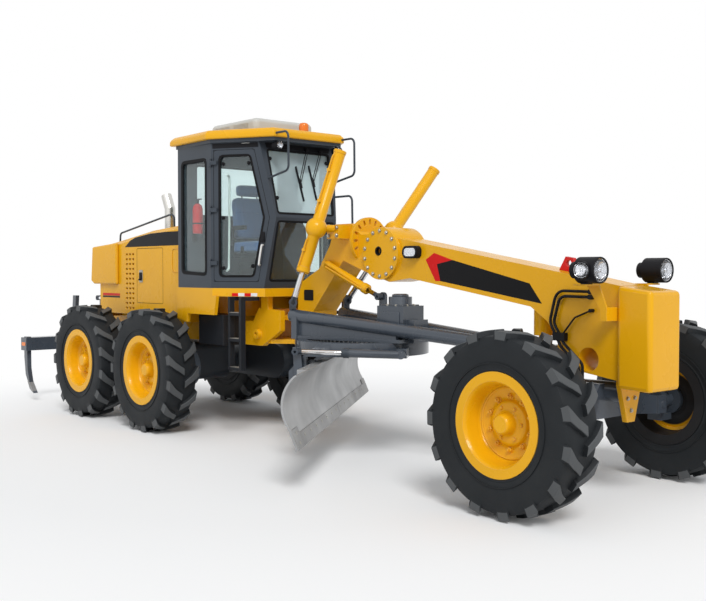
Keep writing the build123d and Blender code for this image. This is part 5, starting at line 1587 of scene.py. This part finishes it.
# %% Headlamps
lamp_x, lamp_y, lamp_z, lamp_radius = ahead(6.56), 0.42, 1.705, 0.095
side_lamp_radius, can_depth = 0.064, 0.040
can = [(0, -0.05), (0.044, -0.05), (0.060, -0.02), (side_lamp_radius, can_depth), (0, can_depth)]
for side_name, side in SIDES:
    place = frame_at((lamp_x + 0.150, side * lamp_y, lamp_z), (0, 1, 0), (0, 0, 1))
    lamp_face("headlamp_" + side_name, "front_frame", place, lamp_radius, 0.022)
    outward = Vector((0.22, side, 0)).normalized()
    beside = frame_at((lamp_x + 0.075, side * (lamp_y + 0.065), lamp_z), (0, 0, 1),
                      outward.cross(Vector((0, 0, 1))))
    bm = bmesh.new()
    turned(bm, beside, can, 40)
    piece("side_lamp_can_" + side_name, bm, "front_frame", "black_plastic")
    lamp_face("side_lamp_" + side_name, "front_frame", beside @ Matrix.Translation((0, 0, can_depth)),
              side_lamp_radius, 0.016)
print("headlamps", 2 * lamp_radius, "m across")

# %% Work lamps
oval = rounded([(-0.088, -0.050), (0.088, -0.050), (0.088, 0.050), (-0.088, 0.050)], 0.046, 8)
for side_name, side in SIDES:
    out = -side
    place = upright @ Matrix.Translation((ahead(4.575), 1.866, -side * (boom_side + 0.055)))
    bm = bmesh.new()
    band(bm, place, oval, 0.014, 0.003, -out * 0.004, out * 0.010)
    piece("work_lamp_bezel_" + side_name, bm, "front_frame", "black_plastic", bevel=0.003)
    bm = bmesh.new()
    prism(bm, place, grown(oval, -0.012), out * 0.0, out * 0.002)
    piece("work_lamp_bowl_" + side_name, bm, "front_frame", "lens_silver")
    bm = bmesh.new()
    prism(bm, place, grown(oval, -0.0135), out * 0.004, out * 0.0085)
    for k in range(-4, 5):
        block(bm, place @ Matrix.Translation((k * 0.015, 0, 0)), 0.003, 0.060, out * 0.008, out * 0.0100)
    piece("work_lamp_lens_" + side_name, bm, "front_frame", "lens_glass")
print("lamps fitted")

# %% [markdown]
# ## Steps and marker strips
# Boots need grip: each step has raised ribs. A red and white strip marks the platform's sloping edge. Its
# fields are short plates on one line, the white ones shifted by one field.

# %% Step ribs
step_x, step_out, step_thick = ahead(2.5525), 0.670, 0.030
ribs_a_step, rib_gap = 4, 0.020
bm = bmesh.new()
for side, heights in ((-1, (0.700, 0.990, 1.250)), (1, (1.010, 1.230))):
    for height in heights:
        for k in range(ribs_a_step):
            spot = (step_x, side * (step_out - 0.030 + rib_gap * k), height + step_thick)
            block(bm, frame_at(spot, (1, 0, 0), (0, 1, 0)), 0.155, 0.007, -0.001, 0.005)
piece("step_ribs", bm, "rear_frame", "zinc_steel", bevel=0.0015)
print(ribs_a_step, "ribs a step")

# %% Marker strips
edge_start, edge_end, strip_z = (ahead(2.26), 0.77), (ahead(2.76), 0.47), 1.46
field, strip_half, strip_start = 0.07, 0.016, 0.22
strips = (("marker_red", "decal_red", "red_paint", 0), ("marker_white", "white_enamel", "pale_grey_paint", 1))
for name, colour, slot_name, shifted in strips:
    bm = bmesh.new()
    for side in (-1, 1):
        a = Vector((edge_start[0], side * edge_start[1], strip_z))
        b = Vector((edge_end[0], side * edge_end[1], strip_z))
        place = frame_at(a, b - a, (0, 0, 1))
        for k in range(2):
            start = strip_start + field * (2 * k + shifted)
            end = start + field
            corners = [(start, -strip_half), (end, -strip_half), (end, strip_half), (start, strip_half)]
            prism(bm, place, corners, 0, -side * film)
    piece(name, bm, "rear_frame", colour)
print("strips of", field, "m fields")

# %% [markdown]
# ## Cylinders: glands, end caps and feed pipes
# A hydraulic barrel has a gland nut where the chrome rod enters and a steel pipe that feeds its far end. The
# ends of each cylinder follow from the linkage: a base, an eye, and the line between them. The drawbar is
# swung a little to the right about its ball, and the blade stands askew under it, so both get a frame of
# their own first.

# %% Work gear frames
ball = Vector((front_x - 0.525, 0, 1.09))
swing = radians(-7)
back_dir = Vector((-cos(swing), sin(swing), 0))
right_dir = Vector((-sin(swing), -cos(swing), 0))


def bar_point(u, v, z):
    """Point on the drawbar: distance back from the ball, to the right, and height."""
    spot = ball + back_dir * u + right_dir * v
    return Vector((spot.x, spot.y, z))


circle_centre = bar_point(1.945, 0, 0)
askew = radians(40.4)
along_blade = Vector((sin(askew), -cos(askew), 0))
ahead_of_blade = Vector((cos(askew), sin(askew), 0))


def blade_frame(s):
    """Frame square to the blade at this distance to its right: u ahead, v up, w along the blade."""
    return frame_at(circle_centre + along_blade * s, ahead_of_blade, (0, 0, 1))


tilt_frame = blade_frame(0.682)
print("blade stands", round(askew * 180 / pi, 1), "degrees askew")

# %% Cylinder table
# name, base, eye, barrel above and below the base, radius, rod radius, paint
lifts = [
    ("lift_" + side_name, Vector((ahead(3.62), side * 0.495, 2.1)), bar_point(2.47, -side * 0.375, 1.405),
     0.760, 0.430, 0.057, 0.028, "yellow_paint") for side_name, side in SIDES
]
cylinders = lifts + [
    ("shift", Vector((ahead(3.398), -0.200, 1.765)), Vector((ahead(4.165), -0.200, 1.466)),
     0, 0.660, 0.042, 0.022, "yellow_paint"),
    ("tilt", tilt_frame @ Vector((0.440, 0.985, 0)), tilt_frame @ Vector((-0.480, 1.0, 0)),
     0, 0.505, 0.036, 0.020, "slate_paint"),
    ("ripper", Vector((rear_x - 0.700, 0, 1.230)), Vector((rear_x - 1.850, 0, 1.330)),
     0, 0.640, 0.045, 0.024, "slate_paint"),
]
print([name for name, *values in cylinders])

# %% [markdown]
# Each cylinder gets one frame at its gland, with w along the rod. In it the gland is a turned profile with
# eight small bolts, and the feed pipe a tube that runs beside the barrel and dips into it at both ends. The
# lift cylinders stick out above their trunnions, so they get an end cap, a second pipe and its clamps. The
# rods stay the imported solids; only the eye at the end turns from chrome to slate.

# %% Glands, pipes and rods
gland, pipe_radius, eye_radius = 0.055, 0.008, 0.062
eye_colour = (0.045, 0.055, 0.070)
for name, base, eye, above, below, radius, rod_radius, paint in cylinders:
    run = (eye - base).normalized()
    sideways = run.cross(Vector((1, 0, 0) if abs(run.y) > 0.5 else (0, 1, 0))).normalized()
    axis = frame_at(base + run * below, sideways, run.cross(sideways))
    bore = rod_radius + 0.0012
    bm = bmesh.new()
    turned(bm, axis, [(bore, -0.01), (radius + 0.007, -gland), (radius + 0.007, -0.008),
                      (radius + 0.002, -0.002), (rod_radius + 0.010, 0.004), (bore, 0.004)], 36, closed=True)
    away = radius - 0.010
    for k in range(8):
        spot = axis @ Matrix.Translation((away * cos(pi * k / 4), away * sin(pi * k / 4), 0.001))
        hex_bolt(bm, spot, 0.013, 0.008, washer=False)
    if above:
        top = axis @ Matrix.Translation((0, 0, -(above + below)))
        turned(bm, top, [(0, -0.001), (radius - 0.004, -0.001), (radius + 0.004, 0.006),
                         (radius + 0.004, 0.030), (radius - 0.002, 0.032)], 36)
    # feed pipes, as distance from the axis and place along it
    start = -below + (0.125 if above else 0.06)
    inside, beside = radius - 0.004, radius + 0.013
    pipes = [[(inside, start), (beside, start + 0.004), (beside, start + 0.05), (beside, -0.09),
              (beside, -0.045), (radius, -0.035)]]
    if above:
        pipes.append([(inside, -below - 0.14), (beside, -below - 0.15), (beside, -below - 0.30),
                      (beside, -below - above + 0.08), (radius, -below - above + 0.05)])
        for w in (-below - 0.25, -below - 0.55, -0.20):
            block(bm, axis @ Matrix.Translation((0, radius + 0.008, w)), 0.040, 0.024, -0.012, 0.012, 0.004)
    for pipe in pipes:
        tube(bm, [axis @ Vector((0, v, w)) for v, w in pipe], pipe_radius, 10)
    piece(name + "_gland", bm, name + "_barrel", paint)
    rod = frame["nodes"][name + "_rod"]
    rod.data.materials.clear()
    rod.data.materials.append(parted("rod_" + name, "chrome_rod", eye_colour, 0.0, 0.4, near_point,
                                     Point=eye, Radius=eye_radius))
print(len(cylinders), "cylinders dressed")

# %% [markdown]
# ## Blade: the curved plate
# The moldboard is a rolled plate: flat at its foot, where the cutting edge is bolted on, and a circular arc
# above a crease, so that the earth rolls over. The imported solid's rails show through the plate's face, so
# this piece takes its place: the same section pushed out along the blade, with rails that end inside it.

# %% Moldboard plate
edge_n, edge_z, blade_half = -0.200, 0.352, 1.855
crease, board_top = (-0.270, 0.522), (-0.215, 0.917)
plate = 0.020
arc_centre, arc_radius, arc_steps = Vector((-0.0182, 0.6882)), 0.3017, 14


def turn_of(point):
    """Angle of a point of the section round the arc's centre."""
    spoke = Vector(point) - arc_centre
    return atan2(spoke.y, spoke.x) % (2 * pi)


front_line = [(edge_n, edge_z), crease]
for k in range(1, arc_steps + 1):
    t = turn_of(crease) + (turn_of(board_top) - turn_of(crease)) * k / arc_steps
    front_line.append((arc_centre.x + arc_radius * cos(t), arc_centre.y + arc_radius * sin(t)))
back_line = [(n - plate, z) for n, z in front_line]
bm = bmesh.new()
prism(bm, blade_frame(0), front_line + back_line[::-1], -blade_half, blade_half)
# two guide rails on the back: low and high edge, and how far ahead each edge reaches into the plate
rail_back, rail_half = -0.345, 1.25
for low_z, high_z, low_front, high_front in ((0.470, 0.520, -0.262, -0.281), (0.850, 0.900, -0.288, -0.250)):
    rail = [(rail_back, low_z), (low_front, low_z), (high_front, high_z), (rail_back, high_z)]
    prism(bm, blade_frame(0), rail, -rail_half, rail_half)
piece("moldboard_plate", bm, "moldboard", "blade_steel", bevel=0.0025, replaces=("moldboard",))
print("moldboard plate, height", round(front_line[-1][1] - edge_z, 3), "m")

# %% [markdown]
# ## Blade: cutting edge, end bits and bolts
# The moldboard itself never digs. A hard steel edge in two lengths is bolted along its foot, with a taller
# bit at each end, so that only those wear out. The bolts have flat heads with a recess, so they are shallow
# rings, and their nuts stand out on the plate's back.

# %% Cutting edge
up_face = Vector((crease[0] - edge_n, crease[1] - edge_z)).normalized()
face_out = Vector((up_face.y, -up_face.x))
edge_foot = Vector((edge_n, edge_z))
edge_thick, edge_tall, bit_tall, bit_long, gap = 0.009, 0.115, 0.165, 0.20, 0.002
cuts = [-blade_half, -blade_half + bit_long, 0.0, blade_half - bit_long, blade_half]
bm = bmesh.new()
for start, end, tall in zip(cuts, cuts[1:], (bit_tall, edge_tall, edge_tall, bit_tall)):
    top = edge_foot + up_face * tall
    outline = [edge_foot + up_face * 0.004, edge_foot + face_out * edge_thick + up_face * 0.008,
               top + face_out * edge_thick, top]
    prism(bm, blade_frame(0), outline, start + gap, end - gap)
piece("cutting_edge", bm, "moldboard", "steel_edge", bevel=0.0015)
print("cutting edge in", len(cuts) - 1, "lengths")

# %% Bolts and nuts of the edge
bolt_count, bolt_inset, bolt_lift = 16, 0.10, 0.075
outward = ahead_of_blade * face_out.x + Vector((0, 0, face_out.y))


def face_spot(s, lift, off, normal):
    """Frame on the blade's foot: this far along it, up its face and off the face."""
    spot = edge_foot + up_face * lift + face_out * off
    return frame_at(blade_frame(s) @ Vector((spot.x, spot.y, 0)), along_blade, normal.cross(along_blade))


bolt_places = [-blade_half + bolt_inset + 2 * (blade_half - bolt_inset) * k / (bolt_count - 1)
               for k in range(bolt_count)]
bolt_head = [(0.006, -0.001), (0.014, -0.001), (0.015, 0.0012), (0.006, 0.0016), (0.006, 0.0004)]
bm = bmesh.new()
for s in bolt_places:
    # the end bits are taller and take two bolts, one above the other
    for lift in ((0.045, 0.125) if s in (bolt_places[0], bolt_places[-1]) else (bolt_lift,)):
        turned(bm, face_spot(s, lift, edge_thick, outward), bolt_head, 20, closed=True)
piece("edge_bolts", bm, "moldboard", "zinc_steel")
bm = bmesh.new()
for s in bolt_places:
    hex_bolt(bm, face_spot(s, bolt_lift, -plate, -outward), 0.026, 0.018)
piece("edge_nuts", bm, "moldboard", "zinc_steel")
print("cutting edge with", bolt_count, "places for bolts")

# %% [markdown]
# ## Circle: teeth and drive box
# The ring is turned by a pinion on teeth cut round its inner edge, which show from below. One tooth is an
# outline in the ring's frame, set round it 66 times. The gearbox on the drawbar has a bolted cover, a cap
# over the motor and a plate on each side.

# %% Circle teeth
ring_low, ring_high, ring_inner = 0.950, 1.070, 0.510
tooth_count, tooth_inset = 66, 0.02
tooth = [(0.003, -0.015), (-0.012, -0.012), (-0.030, -0.006)]
tooth += [(u, -v) for u, v in reversed(tooth)]
bm = bmesh.new()
ring_place = frame_at((circle_centre.x, circle_centre.y, 0), ahead_of_blade, -along_blade)
for k in range(tooth_count):
    turned_place = ring_place @ Matrix.Rotation(2 * pi * k / tooth_count, 4, "Z")
    prism(bm, turned_place @ Matrix.Translation((ring_inner, 0, 0)), tooth, ring_low + tooth_inset,
          ring_high - tooth_inset)
piece("circle_teeth", bm, "circle", "steel_edge")
print(tooth_count, "teeth round the circle")

# %% Gearbox bolts and covers
# the drawbar's frame: u back along the bar, v to the right, so that w points up or down
bar_place = frame_at(Vector((ball.x, ball.y, 0)), back_dir, right_dir)
up_sign = 1 if (bar_place.to_3x3() @ Vector((0, 0, 1))).z > 0 else -1
gear_u, gear_top, lid_circle = 1.480, 1.0703 + 0.320, 0.125
bm = bmesh.new()
lid = bar_place @ Matrix.Translation((gear_u, 0, up_sign * gear_top))
for k in range(8):
    turn = pi * k / 4 + 0.39
    spot = lid @ Matrix.Translation((lid_circle * cos(turn), lid_circle * sin(turn), 0))
    if up_sign < 0:
        spot = spot @ Matrix.Rotation(pi, 4, "X")
    hex_bolt(bm, spot, 0.022, 0.013)
piece("gearbox_bolts", bm, "drawbar", "zinc_steel")
bm = bmesh.new()
block(bm, lid, 0.25, 0.25, -0.001 * up_sign, 0.010 * up_sign, 0.02)
motor_cap = [(0, 0), (0.075, 0), (0.075, 0.018), (0.055, 0.026), (0, 0.026)]
turned(bm, lid @ Matrix.Translation((0, 0, up_sign * 0.08)), [(r, up_sign * w) for r, w in motor_cap], 32)
for side in (-1, 1):
    wall = bar_place @ Matrix.Translation((gear_u, side * 0.145, up_sign * 1.24))
    block(bm, wall @ Matrix.Rotation(pi / 2, 4, "X"), 0.22, 0.20, -side * 0.010, side * 0.010, 0.02)
piece("gearbox_covers", bm, "drawbar", "gear_slate", bevel=0.003)
print("gearbox lid at", round(gear_top, 3), "m")

# %% [markdown]
# ## Ripper points, reflectors and tail lamps
# Each tine wears a cast steel point. The beam's ends carry yellow reflectors, and two lamps sit high on the
# rear cowl.

# %% Ripper reflectors and points
beam_x, beam_z, beam_half = rear_x - 1.900, 0.735, 1.050
tine_count, tine_pitch, point_half = 5, 0.495, 0.033
bm = bmesh.new()
for side in (-1, 1):
    place = upright @ Matrix.Translation((beam_x, beam_z, -side * beam_half))
    block(bm, place, 0.110, 0.045, 0, -side * 0.004, 0.006)
piece("beam_reflectors", bm, "ripper", "amber_plastic", bevel=0.001)
bm = bmesh.new()
point = [(0.100, 0.232), (0.236, 0.0985), (0.118, 0.148), (0.045, 0.245), (0.075, 0.268)]
point = [(beam_x + x, z) for x, z in point]
for k in range(tine_count):
    w = -tine_pitch * (k - 2)
    prism(bm, upright, point, w - point_half, w + point_half)
piece("tine_points", bm, "ripper", "steel_edge", bevel=0.003)
print(tine_count, "tine points")

# %% Tail lamps
cowl_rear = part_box("rear_cowl")[0].x
tail = frame_at((cowl_rear, 0, 0), (0, -1, 0), (0, 0, 1))
tail_y, rib_pitch = 0.52, 0.011
tails = (("tail_lamp", "decal_red", "red_paint", 1.70), ("turn_lamp", "amber_plastic", "amber_plastic", 1.82))
for name, colour, slot_name, z in tails:
    bm = bmesh.new()
    for side in (-1, 1):
        block(bm, tail @ Matrix.Translation((side * tail_y, z, 0)), 0.09, 0.09, -0.03, -0.001, 0.012)
        for k in range(-3, 4):
            place = tail @ Matrix.Translation((side * tail_y, z + rib_pitch * k, 0))
            block(bm, place, 0.078, 0.004, -0.003, 0.0)
    piece(name, bm, "rear_frame", colour, bevel=0.002)
print("tail lamps on the cowl at", round(cowl_rear, 3))
